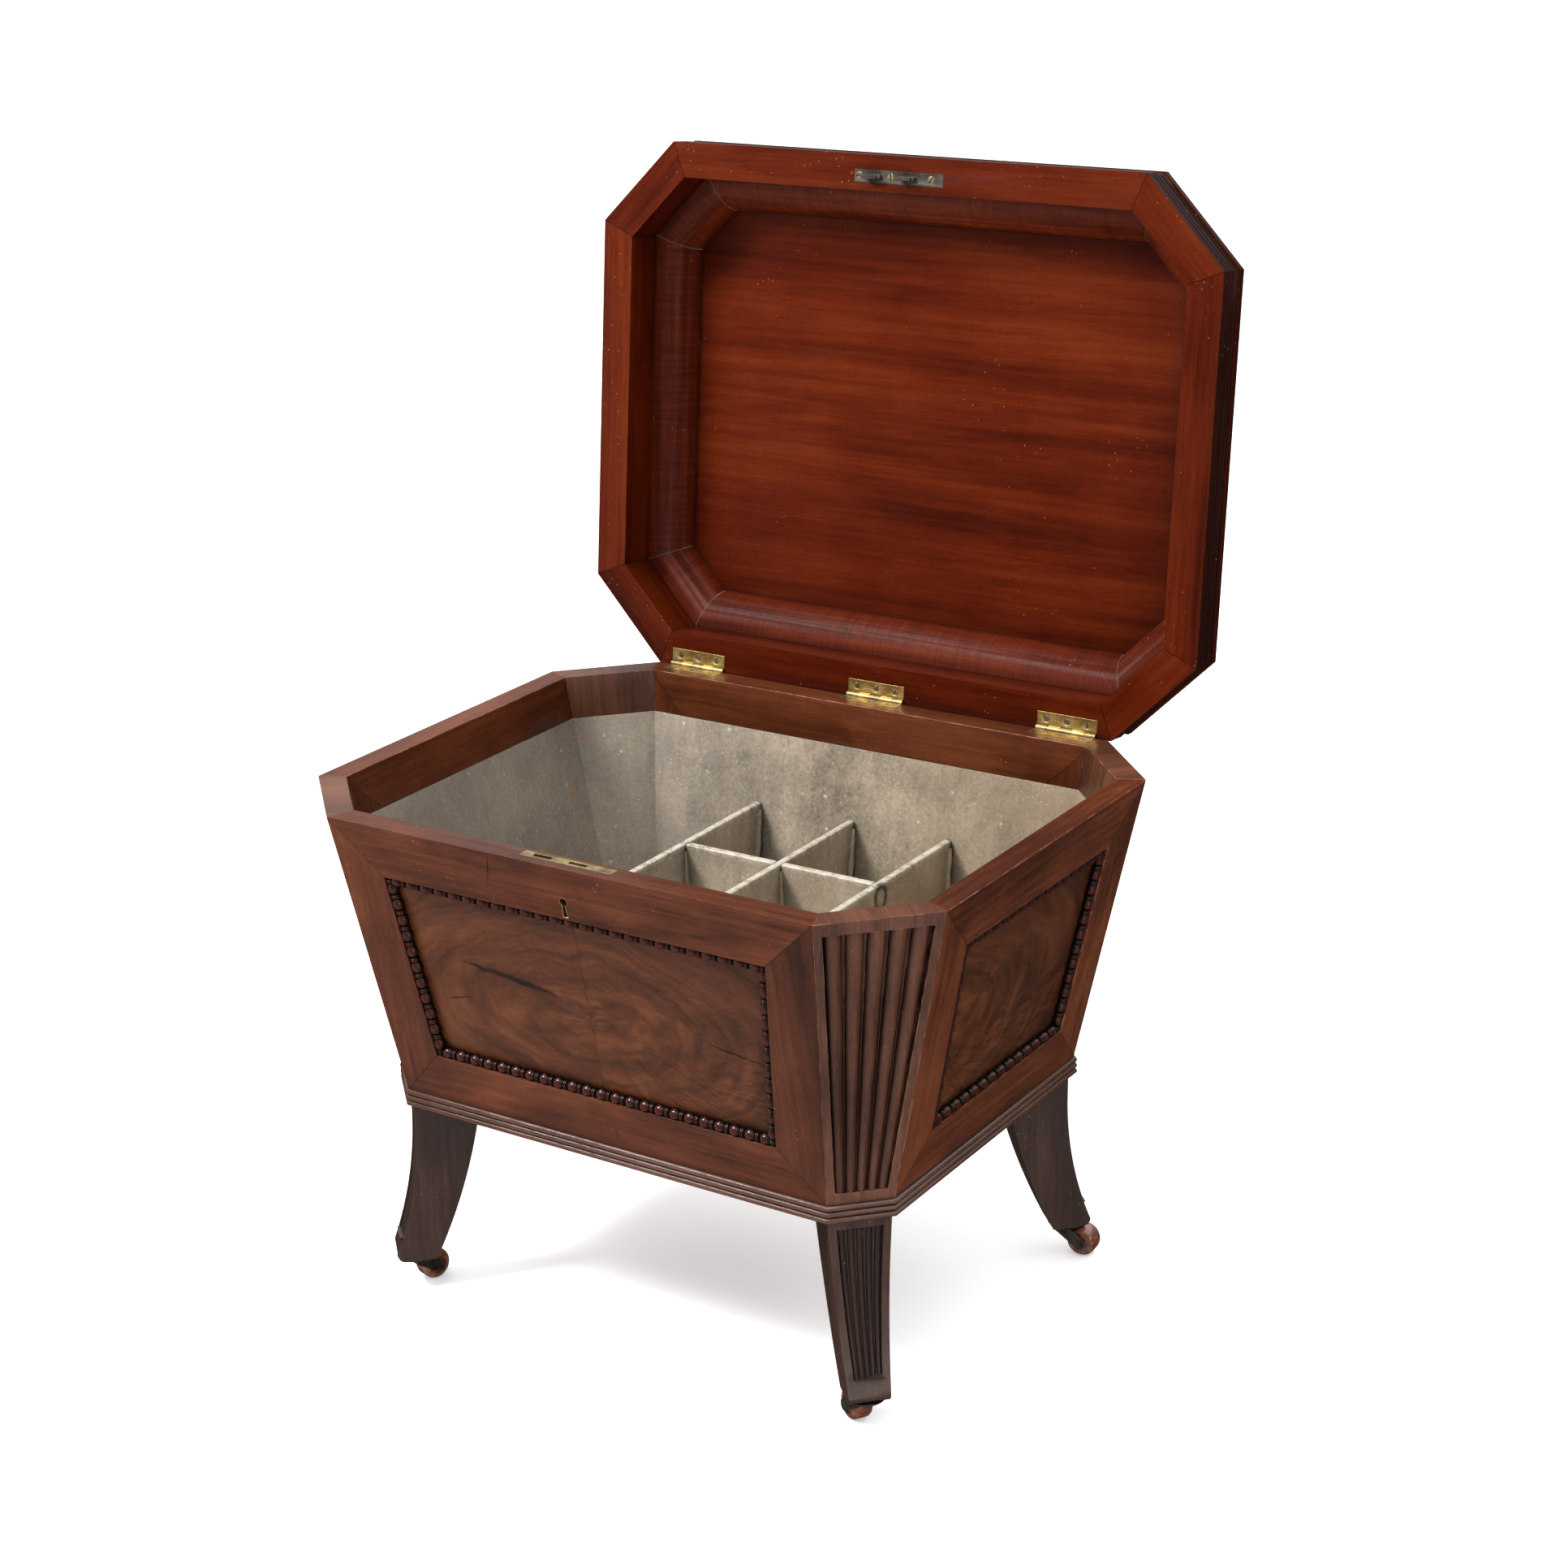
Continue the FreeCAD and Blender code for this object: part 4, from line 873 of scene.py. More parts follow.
def metal(name, deep, pale, rough, metallic=1.0, scale=45, tarnish=0.5):
    """Old metal with a cloudy tarnish and brighter edges."""
    finish = Finish(name, Metallic=metallic)
    place = finish.place()
    cloud = finish.cloud(place, scale, 6, 0.65)
    brushed = finish.cloud(finish.stretch(place, (30, 900, 900)), 1, 2)
    open_air = finish.hollows(0.004)
    colour = finish.ramp(cloud * 0.8 + brushed * 0.2, (0.38, deep), (0.64, pale))
    colour = finish.mix(finish.attribute("edge") * 0.5, colour, pale)
    colour = finish.shade(colour, 1 - (1 - open_air) * tarnish)
    return finish.use(
        Base_Color=colour,
        Roughness=rough + cloud * 0.2,
        Normal=finish.bump(cloud + brushed * 0.3, 0.0002, 0.4),
    )


def glaze(name, deep, pale):
    """Brown glazed stoneware of the caster wheels."""
    finish = Finish(name, Roughness=0.16, Coat_Weight=0.6, Coat_Roughness=0.06)
    place = finish.place()
    cloud = finish.cloud(place, 160, 4, 0.6)
    open_air = finish.hollows(0.004)
    colour = finish.ramp(cloud, (0.35, deep), (0.68, pale))
    # Painted shade in the wheel's rings and hollows.
    colour = finish.shade(colour, 0.35 + open_air * 0.65)
    return finish.use(Base_Color=colour, Normal=finish.bump(cloud, 0.0003, 0.3))


MOULDED = dict(rough=0.14, gloss=0.7, wear=0.35, grime=0.97)
# The leg reeds take the leg's colours at 0.65: painted shade in their sunk field.
SHADED_LEG_REEDS = dict(rough=0.3, gloss=0.4, grime=0.97, blotch=0.15)
RIM_WEAR = dict(rough=0.25, gloss=0.06, wear=0.9, bands=(2.0, 22), blotch=0.2, nicked=0.5)
BOARD_WEAR_AND_SHADE = dict(rough=0.2, gloss=0.06, wear=0.9, bands=(1.3, 14), streaks=(3, 90), blotch=0.22)
# The long reach darkens the lid board near the cove on every side: painted shadow.
BOARD_WEAR_AND_SHADE.update(grime=1.0, reach=0.06)
COVE_WEAR = dict(rough=0.4, gloss=0.11, wear=0.7, bands=(2.0, 20), ripple=0.28, blotch=0.15)
COVE_WEAR.update(worn=PALE_DUST, coat=0.0, dust=0.22)

# Each finish: its maker, its part of the sidebar's colours, their brightness, and its settings.
FINISHES = {
    "Mahogany": (mahogany, "wood", 1, dict(rough=0.27, gloss=0.17, cracks=RAIL_CRACKS)),
    "Pilaster mahogany": (mahogany, "pilaster", 1, dict(rough=0.3, gloss=0.33, wear=0.8)),
    "Reed mahogany": (mahogany, "pilaster", 1, dict(rough=0.22, gloss=0.35, grime=0.97)),
    "Moulding mahogany": (mahogany, "pilaster", 1, MOULDED),
    "Dark mahogany": (mahogany, "leg", 1, dict(rough=0.3, gloss=0.45, grime=0.95, blotch=0.15)),
    "Leg reed mahogany": (mahogany, "leg", 0.65, SHADED_LEG_REEDS),
    "Lid mahogany": (mahogany, "lid", 0.82, RIM_WEAR),
    "Lid board": (mahogany, "lid", 1, BOARD_WEAR_AND_SHADE),
    "Rippled mahogany": (mahogany, "lid", 1, COVE_WEAR),
    "Bead mahogany": (turned_wood, "bead", 1, dict(rough=0.12)),
    "Flame veneer": (flame, "flame", 1, dict(rough=0.26, centre=(0, -0.015), cracks=PANEL_CRACKS)),
    "Back flame veneer": (flame, "flame", 1, dict(rough=0.26, centre=(0, -0.015))),
    "Side flame veneer": (flame, "flame", 1, dict(rough=0.26, centre=(0, 0), seams=False)),
    "Sheet lead": (sheet_lead, None, 1, {}),
    "Partition lead": (sheet_lead, None, 1, dict(top=0.407, lift=0.085, patch=SOLDER_PATCH)),
    "Bright brass": (metal, "bright_brass", 1, dict(rough=0.3)),
    "Dull brass": (metal, "dull_brass", 1, dict(rough=0.38)),
    "Dark steel": (metal, "steel", 1, dict(rough=0.42, metallic=0.7)),
    "Old screw": (metal, "screw", 1, dict(rough=0.4, metallic=0.9, scale=300)),
    "Caster iron": (metal, "iron", 1, dict(rough=0.34, metallic=0.7, scale=120)),
    "Caster glaze": (glaze, "glaze", 1, {}),
}


def finish_for(kind):
    """The finish of that kind, made once from the colours in the sidebar."""
    made = bpy.data.materials.get(kind)
    if made:
        return made
    maker, part, share, settings = FINISHES[kind]
    chosen = bpy.context.scene.cellarette_colours
    given = {"worn": tuple(chosen.worn)} if maker is mahogany else {}
    for shade in shades_of(part):
        given[shade] = tuple(level * share for level in getattr(chosen, f"{part}_{shade}"))
    return maker(kind, **{**given, **settings})


# ---- Sizes and colours that a user may change ----

SIZES = {
    "edge_round": ("Rounding of the boards' edges", 0.0007),
    "bead_pitch": ("Beads, middle to middle", 0.0164),
    "bead_length": ("One bead along its row", 0.0134),
    "bead_radius": ("Half the thickness of a bead", 0.0055),
    "bead_inset": ("Middle of a bead in from the panel's border", 0.0043),
    "bead_sink": ("Middle of a bead below the board's face", 0.0048),
    "reel_radius": ("Half the thickness of the discs between beads", 0.0047),
    "reel_length": ("One disc along the row", 0.0016),
    "screw_radius": ("Radius of a screw head", 0.0034),
    "leg_border": ("Plain border beside the leg's reeds", 0.0075),
    "leg_sink": ("Depth of the leg's reeded field", 0.0028),
}
COLOURS = {
    "wood": ((0.03, 0.0064, 0.0018), (0.07, 0.0162, 0.0047), (0.125, 0.033, 0.0098)),
    "pilaster": ((0.032, 0.0096, 0.0044), (0.072, 0.0235, 0.011), (0.128, 0.046, 0.0215)),
    "lid": ((0.034, 0.0032, 0.0005), (0.074, 0.0078, 0.001), (0.118, 0.0165, 0.0024)),
    "leg": ((0.014, 0.0046, 0.0027), (0.031, 0.0102, 0.0055), (0.064, 0.0235, 0.0125)),
    "flame": ((0.029, 0.0083, 0.0031), (0.056, 0.0155, 0.005), (0.093, 0.0265, 0.0078)),
    "bead": ((0.004, 0.002, 0.0017), (0.034, 0.0052, 0.0021)),
    "bright_brass": ((0.32, 0.2, 0.055), (0.66, 0.46, 0.17)),
    "dull_brass": ((0.13, 0.1, 0.05), (0.4, 0.31, 0.15)),
    "steel": ((0.02, 0.016, 0.013), (0.1, 0.082, 0.066)),
    "screw": ((0.08, 0.06, 0.04), (0.3, 0.24, 0.15)),
    "iron": ((0.012, 0.01, 0.009), (0.07, 0.055, 0.045)),
    "glaze": ((0.05, 0.014, 0.007), (0.2, 0.06, 0.025)),
}
# Names of a part's colours, for parts with two and with three.
SHADES = {2: ("deep", "pale"), 3: ("deep", "mid", "pale")}


def shades_of(part):
    return SHADES[len(COLOURS[part])] if part else ()


def tint(name, value):
    return bpy.props.FloatVectorProperty(
        name=name, default=value, size=3, subtype="COLOR", min=0, max=1
    )


class CellaretteSizes(bpy.types.PropertyGroup):
    """Sizes of the pieces that dress the chest."""

    reed_count: bpy.props.IntProperty(
        name="Reeds", description="Reeds on each corner and leg", default=5, min=1
    )


class CellaretteColours(bpy.types.PropertyGroup):
    """Colours of the finishes: each part's shades from dark to pale, and the worn edges."""

    worn: tint("Worn edge", (0.36, 0.15, 0.08))


for size, (note, value) in SIZES.items():
    CellaretteSizes.__annotations__[size] = bpy.props.FloatProperty(
        name=size.replace("_", " ").capitalize(),
        description=note,
        default=value,
        unit="LENGTH",
        subtype="DISTANCE",
        min=0,
    )
for part, tones in COLOURS.items():
    for shade, value in zip(shades_of(part), tones):
        name = f"{part}_{shade}"
        CellaretteColours.__annotations__[name] = tint(name.replace("_", " ").capitalize(), value)


# ---- Chest ----


class CELLARETTE_OT_boards(bpy.types.Operator):
    """Four sloping boards, each faced with a mitred frame"""

    bl_idname = "cellarette.boards"
    bl_label = "Boards"
    # Painted shade on the front's stiles, the right one darkest.
    SOOT = (0.16, 0.4)  # on the left and on the right stile

    def paint_stile_shade(self, board, face):
        """The stiles are darkened, the left a little and the right one most: painted shade towards
        the right of the front.
        """

        def level(centre, normal):
            across, down = face.local(centre)
            on_stile = abs(across) > face.half_at(down) - PANEL_SIDE
            outside = normal.dot(face.normal) > 0.9
            return self.SOOT[across > 0] * (on_stile and outside)

        shade_by(board, level)

    def execute(self, context):
        width = context.scene.cellarette_sizes.edge_round
        for index, side in enumerate(FLAT_SIDES):
            grain, mitres = frame_grain(FACES[side], index * BOARD_STEP)
            node = f"{side}_board"
            board = dress(node, f"{node}_wood", "Mahogany", "wood", grain, width=width, cuts=mitres)
            if side == "front":
                self.paint_stile_shade(board, FACES[side])
        return {"FINISHED"}


def tapered_reed(name, start, end, radii, normal):
    """Half-round tapering reed between two points, its back sunk in the field."""
    run = end - start
    size = {"radius1": radii[0], "radius2": radii[1], "depth": run.length}
    reed = primitive("cone", name, vertices=32, **size)
    turn = run.to_track_quat("Z", "Y").to_matrix().to_4x4()
    settle(reed, Matrix.Translation((start + end) / 2) @ turn)
    editing(reed)
    bpy.ops.mesh.select_all(action="SELECT")
    spot = (start + end) / 2 - normal * radii[0] * 0.15
    bpy.ops.mesh.bisect(plane_co=spot, plane_no=normal, clear_inner=True, use_fill=True)
    bpy.ops.object.mode_set(mode="OBJECT")
    return smooth(reed, 40)


class CELLARETTE_OT_corners(bpy.types.Operator):
    """Four canted corners with tapering reeds and fillets between them"""

    bl_idname = "cellarette.corners"
    bl_label = "Reeded corners"

    def field_edges(self, face, down):
        half = face.half_at(down) - REED_BORDER
        middle = face.shift * down / face.run
        return middle - half, middle + half

    def execute(self, context):
        sizes = context.scene.cellarette_sizes
        for index, corner in enumerate(CORNERS):
            face = FACES[corner]
            origin = face.start + UP * (index + 3) * PILASTER_STEP
            grain = straight_grain(origin, face.down, face.across)
            edges = {"width": sizes.edge_round * 0.8, "angle": 40}
            node, name = f"{corner}_corner", f"{corner}_pilaster"
            dress(node, name, "Pilaster mahogany", "wood", grain, **edges)
            ends = []
            for down in (REED_TOP - REED_RUN_ON, face.run - REED_BASE + REED_RUN_ON):
                left, right = self.field_edges(face, down)
                ends.append((down, left, (right - left) / sizes.reed_count))

            def strip(name, place, radius, sink):
                """A reed or fillet at a place counted in pitches, its sizes shares of the pitch."""
                spots, radii = [], []
                for down, left, pitch in ends:
                    spots.append(face.at(left + pitch * place, down, pitch * sink))
                    radii.append(pitch * radius)
                return tapered_reed(name, *spots, radii, face.normal)

            sink = REED_SHARE + REED_SINK
            parts = [
                strip("reed", reed + 0.5, REED_SHARE * REED_PROUD, sink)
                for reed in range(sizes.reed_count)
            ]
            parts += [
                strip("fillet", gap, FILLET_SHARE, sink - FILLET_RISE)
                for gap in range(1, sizes.reed_count)
            ]
            reeds = joined(parts, f"{corner}_reeds")
            origin = face.start + UP * (index + 9) * REED_STEP
            lay_grain(reeds, straight_grain(origin, face.down, face.across))
            finish_piece(reeds, "Reed mahogany", "chest", "wood")
        return {"FINISHED"}


class CELLARETTE_OT_panels(bpy.types.Operator):
    """Four sunk panels of flame veneer"""

    bl_idname = "cellarette.panels"
    bl_label = "Veneered panels"

    def execute(self, context):
        kinds = {"front": "Flame veneer", "back": "Back flame veneer"}
        for side in FLAT_SIDES:
            face = FACES[side]
            corners = face.panel_corners()
            middle = face.at(0, (corners[0][1] + corners[2][1]) / 2)
            if side in ("right", "left"):
                middle = face.at(-0.16, 0.16)
            grain = straight_grain(middle, face.across, -face.down)
            kind = kinds.get(side, "Side flame veneer")
            dress(f"{side}_panel", f"{side}_veneer", kind, "veneer", grain)
        return {"FINISHED"}


class CELLARETTE_OT_beads(bpy.types.Operator):
    """Rows of turned beads and reels round each sunk panel"""

    bl_idname = "cellarette.beads"
    bl_label = "Beading"

    def unit(self, sizes):
        """One bead and the two reels after it, along X."""
        bead = primitive("uv_sphere", "bead", segments=20, ring_count=12, radius=1)
        bead.rotation_euler = (0, math.radians(90), 0)
        settle(bead)
        bead.scale = (sizes.bead_length / 2, sizes.bead_radius, sizes.bead_radius)
        settle(bead)
        parts = [bead]
        for step in (-1, 1):
            radius, depth = sizes.reel_radius, sizes.reel_length
            reel = primitive("cylinder", "reel", vertices=16, radius=radius, depth=depth)
            modify(reel, "BEVEL", width=sizes.reel_length * 0.35, segments=2, limit_method="ANGLE")
            reel.rotation_euler = (0, math.radians(90), 0)
            reel.location = (sizes.bead_pitch / 2 + step * sizes.reel_length * 0.58, 0, 0)
            settle(reel)
            parts.append(reel)
        return smooth(joined(parts, "bead_unit"), 50)

    def row(self, unit, sizes, start, end, normal):
        run = end - start
        count = max(2, round(run.length / sizes.bead_pitch))
        pitch = run.length / count
        row = stamped(unit, Matrix.Scale(pitch / sizes.bead_pitch, 4, (1, 0, 0)))
        modify(
            row,
            "ARRAY",
            count=count,
            use_relative_offset=False,
            use_constant_offset=True,
            constant_offset_displace=(pitch, 0, 0),
        )
        core = primitive("cube", "core", size=1)
        core.rotation_euler = (math.radians(45), 0, 0)
        core.scale = (run.length, sizes.reel_radius, sizes.reel_radius)
        settle(core, Matrix.Translation((run.length / 2 - pitch / 2, 0, 0)))
        modify(core, "BEVEL", width=0.0006, segments=2)
        made = joined([row, core], "row")
        along = run.normalized()
        turned = Matrix((along, normal.cross(along), normal)).transposed().to_4x4()
        made.data.transform(Matrix.Translation(start + along * pitch / 2) @ turned)
        return made

    def execute(self, context):
        sizes = context.scene.cellarette_sizes
        unit = self.unit(sizes)
        for side in FLAT_SIDES:
            face = FACES[side]
            inset, sink = sizes.bead_inset, sizes.bead_sink
            signs = ((1, 1), (-1, 1), (-1, -1), (1, -1))
            spots = [
                face.at(x + sign_x * inset, y + sign_y * inset, sink)
                for (x, y), (sign_x, sign_y) in zip(face.panel_corners(), signs)
            ]
            rows = [
                self.row(unit, sizes, spots[index], spots[(index + 1) % 4], face.normal)
                for index in range(4)
            ]
            beads = joined(rows, f"{side}_beads")
            lay_grain(beads, straight_grain(face.start, face.across, face.down))
            node = f"{side}_bead_moulding"
            finish_piece(beads, "Bead mahogany", "chest", "dark_wood", node)
        discard(unit)
        return {"FINISHED"}


class CELLARETTE_OT_base(bpy.types.Operator):
    """Reeded base moulding and the bottom board inside it"""

    bl_idname = "cellarette.base"
    bl_label = "Base moulding"

    def execute(self, context):
        width = context.scene.cellarette_sizes.edge_round
        ring = ring_grain(BASE_PLAN, 0.2)
        edges = {"width": width * 0.5, "angle": 50}
        dress("base_moulding", "base_reeding", "Moulding mahogany", "dark_wood", ring, **edges)
        level = straight_grain(Vector((0, 0, 0)), Vector((1, 0, 0)))
        dress("bottom_board", "bottom_wood", "Mahogany", "wood", level, width=width)
        return {"FINISHED"}


# ---- Legs and casters ----


def leg_frame(corner):
    """Frame of a leg: X out along the diagonal, Y across, Z up, from the canted face's foot."""
    half_width, half_depth, cant = BASE_PLAN
    out = outward(corner)
    across = math.copysign(half_width - cant / 2, out.x)
    start = Vector((across, math.copysign(half_depth - cant / 2, out.y), 0))
    turned = Matrix((out, UP.cross(out), UP)).transposed().to_4x4()
    return Matrix.Translation(start) @ turned


def leg_face_at(level):
    """How far out the leg's face stands at a level: straight, then a sweep to the toe."""
    bend = LEG_TOP - LEG_STRAIGHT
    if level >= bend:
        return LEG_FACE
    drop = bend - level
    full_drop = bend - TOE_LEVEL
    sweep = LEG_TOE - LEG_FACE
    radius = (full_drop**2 + sweep**2) / (2 * sweep)
    return LEG_FACE + radius - math.sqrt(radius**2 - drop**2)


class CELLARETTE_OT_legs(bpy.types.Operator):
    """Four sabre legs with tapering reeds on the outer face"""

    bl_idname = "cellarette.legs"
    bl_label = "Sabre legs"

    def reeds(self, count):
        """Reeds of one leg, in the leg's own frame."""
        base, top = LEG_REEDS
        width_base, width_top = LEG_REED_WIDTHS
        steps = 18
        levels = [base + (top - base) * step / steps for step in range(1, steps)]
        parts = []
        for reed in range(count):
            share = (reed + 0.5) / count - 0.5
            made = primitive(
                "cone",
                "leg_reed",
                vertices=20,
                radius1=width_base / count * LEG_REED_SHARE,
                radius2=width_top / count * LEG_REED_SHARE,
                depth=top - base,
                location=(0, 0, (top + base) / 2),
            )
            settle(made)
            cut_across(made, [(Vector((0, 0, level)), UP) for level in levels])
            for vertex in made.data.vertices:
                level = vertex.co.z
                width = width_base + (width_top - width_base) * (level - base) / (top - base)
                vertex.co.x += leg_face_at(level) - width / count * LEG_REED_SINK
                vertex.co.y += share * width
            parts.append(smooth(made, 50))
        return joined(parts, "leg_reeds")

    def execute(self, context):
        sizes = context.scene.cellarette_sizes
        master = self.reeds(sizes.reed_count)
        base, top = LEG_FIELD
        for index, corner in enumerate(CORNERS):
            out = outward(corner)
            leg = copy_of_node(f"{corner}_leg", f"{corner}_sabre_leg")
            cut_across(leg, [(Vector((0, 0, top)), UP), (Vector((0, 0, base)), UP)])
            editing(leg)
            select_faces(leg, lambda spot, normal: normal.dot(out) > 0.5 and base < spot.z < top)
            bpy.ops.mesh.inset(thickness=sizes.leg_border, depth=0)
            sunk = {"value": -sizes.leg_sink}
            bpy.ops.mesh.extrude_region_shrink_fatten(TRANSFORM_OT_shrink_fatten=sunk)
            bpy.ops.object.mode_set(mode="OBJECT")
            round_edges(leg, sizes.edge_round * 0.9, angle=32)

            def rule(centre, normal, out=out, index=index):
                across = UP.cross(out) if abs(normal.dot(out)) > FACING else out
                return UP * (index * LEG_STEP + 0.3), UP, across, None

            lay_grain(leg, rule)
            finish_piece(leg, "Dark mahogany", "chest", "dark_wood", f"{corner}_leg")
            reeds = stamped(master, leg_frame(corner))
            reeds.name = f"{corner}_leg_reeds"
            lay_grain(reeds, straight_grain(UP * (index * LEG_REED_STEP), UP, UP.cross(out)))
            finish_piece(reeds, "Leg reed mahogany", "chest", "dark_wood")
        discard(master)
        return {"FINISHED"}


class CELLARETTE_OT_casters(bpy.types.Operator):
    """Four swivelling casters with glazed barrel wheels"""

    bl_idname = "cellarette.casters"
    bl_label = "Casters"

    def wheel(self):
        """Barrel wheel along Y with a rounded tread and ringed sides."""
        size = {"radius": WHEEL_RADIUS, "depth": WHEEL_WIDTH}
        wheel = primitive("cylinder", "wheel", vertices=56, **size)
        limits = {"limit_method": "ANGLE", "angle_limit": math.radians(60)}
        modify(wheel, "BEVEL", width=WHEEL_TREAD, segments=7, **limits)
        editing(wheel)
        for side in (-1, 1):
            select_faces(wheel, lambda centre, normal: normal.z * side > 0.99)
            for inset, rise in WHEEL_RINGS:
                bpy.ops.mesh.inset(thickness=inset, depth=rise)
        bpy.ops.object.mode_set(mode="OBJECT")
        smooth(wheel, 45)
        wheel.rotation_euler = (math.radians(90), 0, 0)
        return settle(wheel)

    def execute(self, context):
        width = context.scene.cellarette_sizes.edge_round
        wheel = self.wheel()
        pivot_out = (LEG_TOE + LEG_HEEL) / 2
        hub = Matrix.Translation((CASTER_TRAIL, 0, WHEEL_RADIUS))
        iron = {"kind": "Caster iron", "slot": "caster_metal"}
        for corner in CORNERS:
            pivot = Matrix.Translation(leg_frame(corner) @ Vector((pivot_out, 0, 0)))
            trail = Matrix.Rotation(math.radians(TRAILS[corner]), 4, "Z")
            made = stamped(wheel, pivot @ trail @ hub)
            made.name = f"{corner}_glazed_wheel"
            body, node = f"{corner}_wheel", f"{corner}_caster_wheel"
            finish_piece(made, "Caster glaze", body, "glazed_wheel", node)
            node, name = f"{corner}_caster_fork", f"{corner}_caster_horn"
            dress(node, name, **iron, body=f"{corner}_caster", width=width * 0.8)
        dress("caster_plates", "caster_top_plates", **iron, width=width * 0.5)
        discard(wheel)
        return {"FINISHED"}


# ---- Lead ----


class CELLARETTE_OT_lead(bpy.types.Operator):
    """Lead liner and the lead-covered bottle partitions"""

    bl_idname = "cellarette.lead"
    bl_label = "Lead liner"

    def execute(self, context):
        dress("lead_liner", "liner_sheet", "Sheet lead", "lead", width=SHEET_EDGE)
        edges = {"width": PARTITION_EDGE, "segments": 3}
        for name in ("left", "middle", "right", "rear_cross", "front_cross"):
            dress(f"{name}_partition", f"{name}_divider", "Partition lead", "lead", **edges)
        self.solder()
        return {"FINISHED"}

    def wipe(self, foot, head, radius, number):
        """One wiped joint: a thin uneven roll of solder up a corner."""
        run = head - foot
        roll = primitive("cylinder", "wipe", vertices=14, radius=radius, depth=run.length)
        settle(roll, Matrix.Translation((0, 0, run.length / 2)))
        steps = 14
        cuts = [(Vector((0, 0, run.length * step / steps)), UP) for step in range(1, steps)]
        cut_across(roll, cuts)
        for vertex in roll.data.vertices:
            share = vertex.co.z / run.length
            swell = 1 + 0.16 * math.sin(share * 19 + number * 2.1)
            swell += 0.08 * math.sin(share * 47 + number)
            if share > 0.999:
                swell *= 0.55
            vertex.co.x *= swell
            vertex.co.y *= swell
        smooth(roll, 60)
        tilt = run.to_track_quat("Z", "Y").to_matrix().to_4x4()
        roll.data.transform(Matrix.Translation(foot) @ tilt)
        return roll

    def solder(self):
        """Wiped joints where the partitions meet each other and the liner's front and back."""
        half = PARTITION / 2
        rolls = []
        for line in (-PARTITION_PITCH, 0.0, PARTITION_PITCH):
            for side in (-1, 1):
                across = line + side * half
                for end in (-1, 1):
                    ends = [
                        Vector((across, end * (plan_at(level)[1] - LINER_IN), level))
                        for level in WIPE_LEVELS
                    ]
                    rolls.append(self.wipe(*ends, LINER_WIPE, len(rolls)))
                if line * side > 0:
                    continue
                for cross in (-CROSS_LINE, CROSS_LINE):
                    for face in (-1, 1):
                        depth = cross + face * half
                        ends = [Vector((across, depth, level)) for level in WIPE_LEVELS]
                        rolls.append(self.wipe(*ends, CROSS_WIPE, len(rolls)))
        made = joined(rolls, "wiped_joints")
        finish_piece(made, "Partition lead", "chest", "lead")


# ---- Lid ----


class CELLARETTE_OT_lid(bpy.types.Operator):
    """Mitred lid frame, its cove and the top board"""

    bl_idname = "cellarette.lid"
    bl_label = "Lid"
    SOOT = 0.72  # on the reeded outer edge
    EDGE_DEPTH = 0.004

    def execute(self, context):
        width = context.scene.cellarette_sizes.edge_round
        wood = {"slot": "lid_wood", "body": "lid"}
        edges = {"width": width, "angle": 40, **wood}
        ring = ring_grain(RIM_PLAN, 0.1, CLOSING)
        mitres = [ring(OPENING @ middle_of(side, RIM_LEVEL), UP)[3][1] for side in SIDES]
        rim = dress("lid_frame", "lid_rim", "Lid mahogany", grain=ring, cuts=mitres, **edges)
        back = CLOSING.to_3x3()

        def soot(centre, normal):
            """The reeded outer edge is nearly black."""
            flat = CLOSING @ centre
            beyond = max(flat.dot(outward(side)) - ring_reach(RIM_PLAN, side) for side in SIDES)
            return self.SOOT * (beyond > -self.EDGE_DEPTH and abs((back @ normal).z) < 0.9)

        shade_by(rim, soot)
        round_cove = cove_grain(RIM_PLAN, 0.7, CLOSING, COVE_RADIUS)
        edges["width"] = width * 0.6
        dress("lid_cove", "lid_hollow", "Rippled mahogany", grain=round_cove, **edges)
        upright = OPENING.to_3x3() @ Vector((0, 1, 0))
        level = straight_grain(HINGE_AXIS, Vector((1, 0, 0)), upright)
        dress("lid_top", "lid_board", "Lid board", grain=level, width=width, **wood)
        return {"FINISHED"}


# ---- Brass and steel ----

SCREW_TURNS = (35, 110, 62, 15, 140, 80, 128, 50, 95)
# How far screws lie below a face, how much the edges are eased, and the depth of a countersink.
HINGE_SHY, LOCK_SHY = 0.0002, 0.0001
LEAF_EDGE, LOCK_EDGE, STRIKE_EDGE = 0.00025, 0.0003, 0.0004
SINK_DEPTH = 0.0024


def slotted_head(radius):
    """Countersunk screw head with a slot, its face at Z nought."""
    depth = radius * 0.4
    slot = radius * 0.26
    size = {"radius": radius, "depth": depth}
    head = primitive("cylinder", "screw_head", vertices=32, location=(0, 0, -depth / 2), **size)
    settle(head)
    editing(head)
    for side in (-1, 1):
        select_faces(head, lambda centre, normal: normal.z > 0.9)
        bpy.ops.mesh.bisect(plane_co=(0, side * slot / 2, 0), plane_no=(0, 1, 0))
    select_faces(head, lambda centre, normal: normal.z > 0.9 and abs(centre.y) < slot / 2)
    bpy.ops.mesh.extrude_region_move(TRANSFORM_OT_translate={"value": (0, 0, -depth * 0.55)})
    bpy.ops.object.mode_set(mode="OBJECT")
    limits = {"limit_method": "ANGLE", "angle_limit": math.radians(50)}
    modify(head, "BEVEL", width=radius * 0.05, segments=2, **limits)
    return smooth(head, 40)


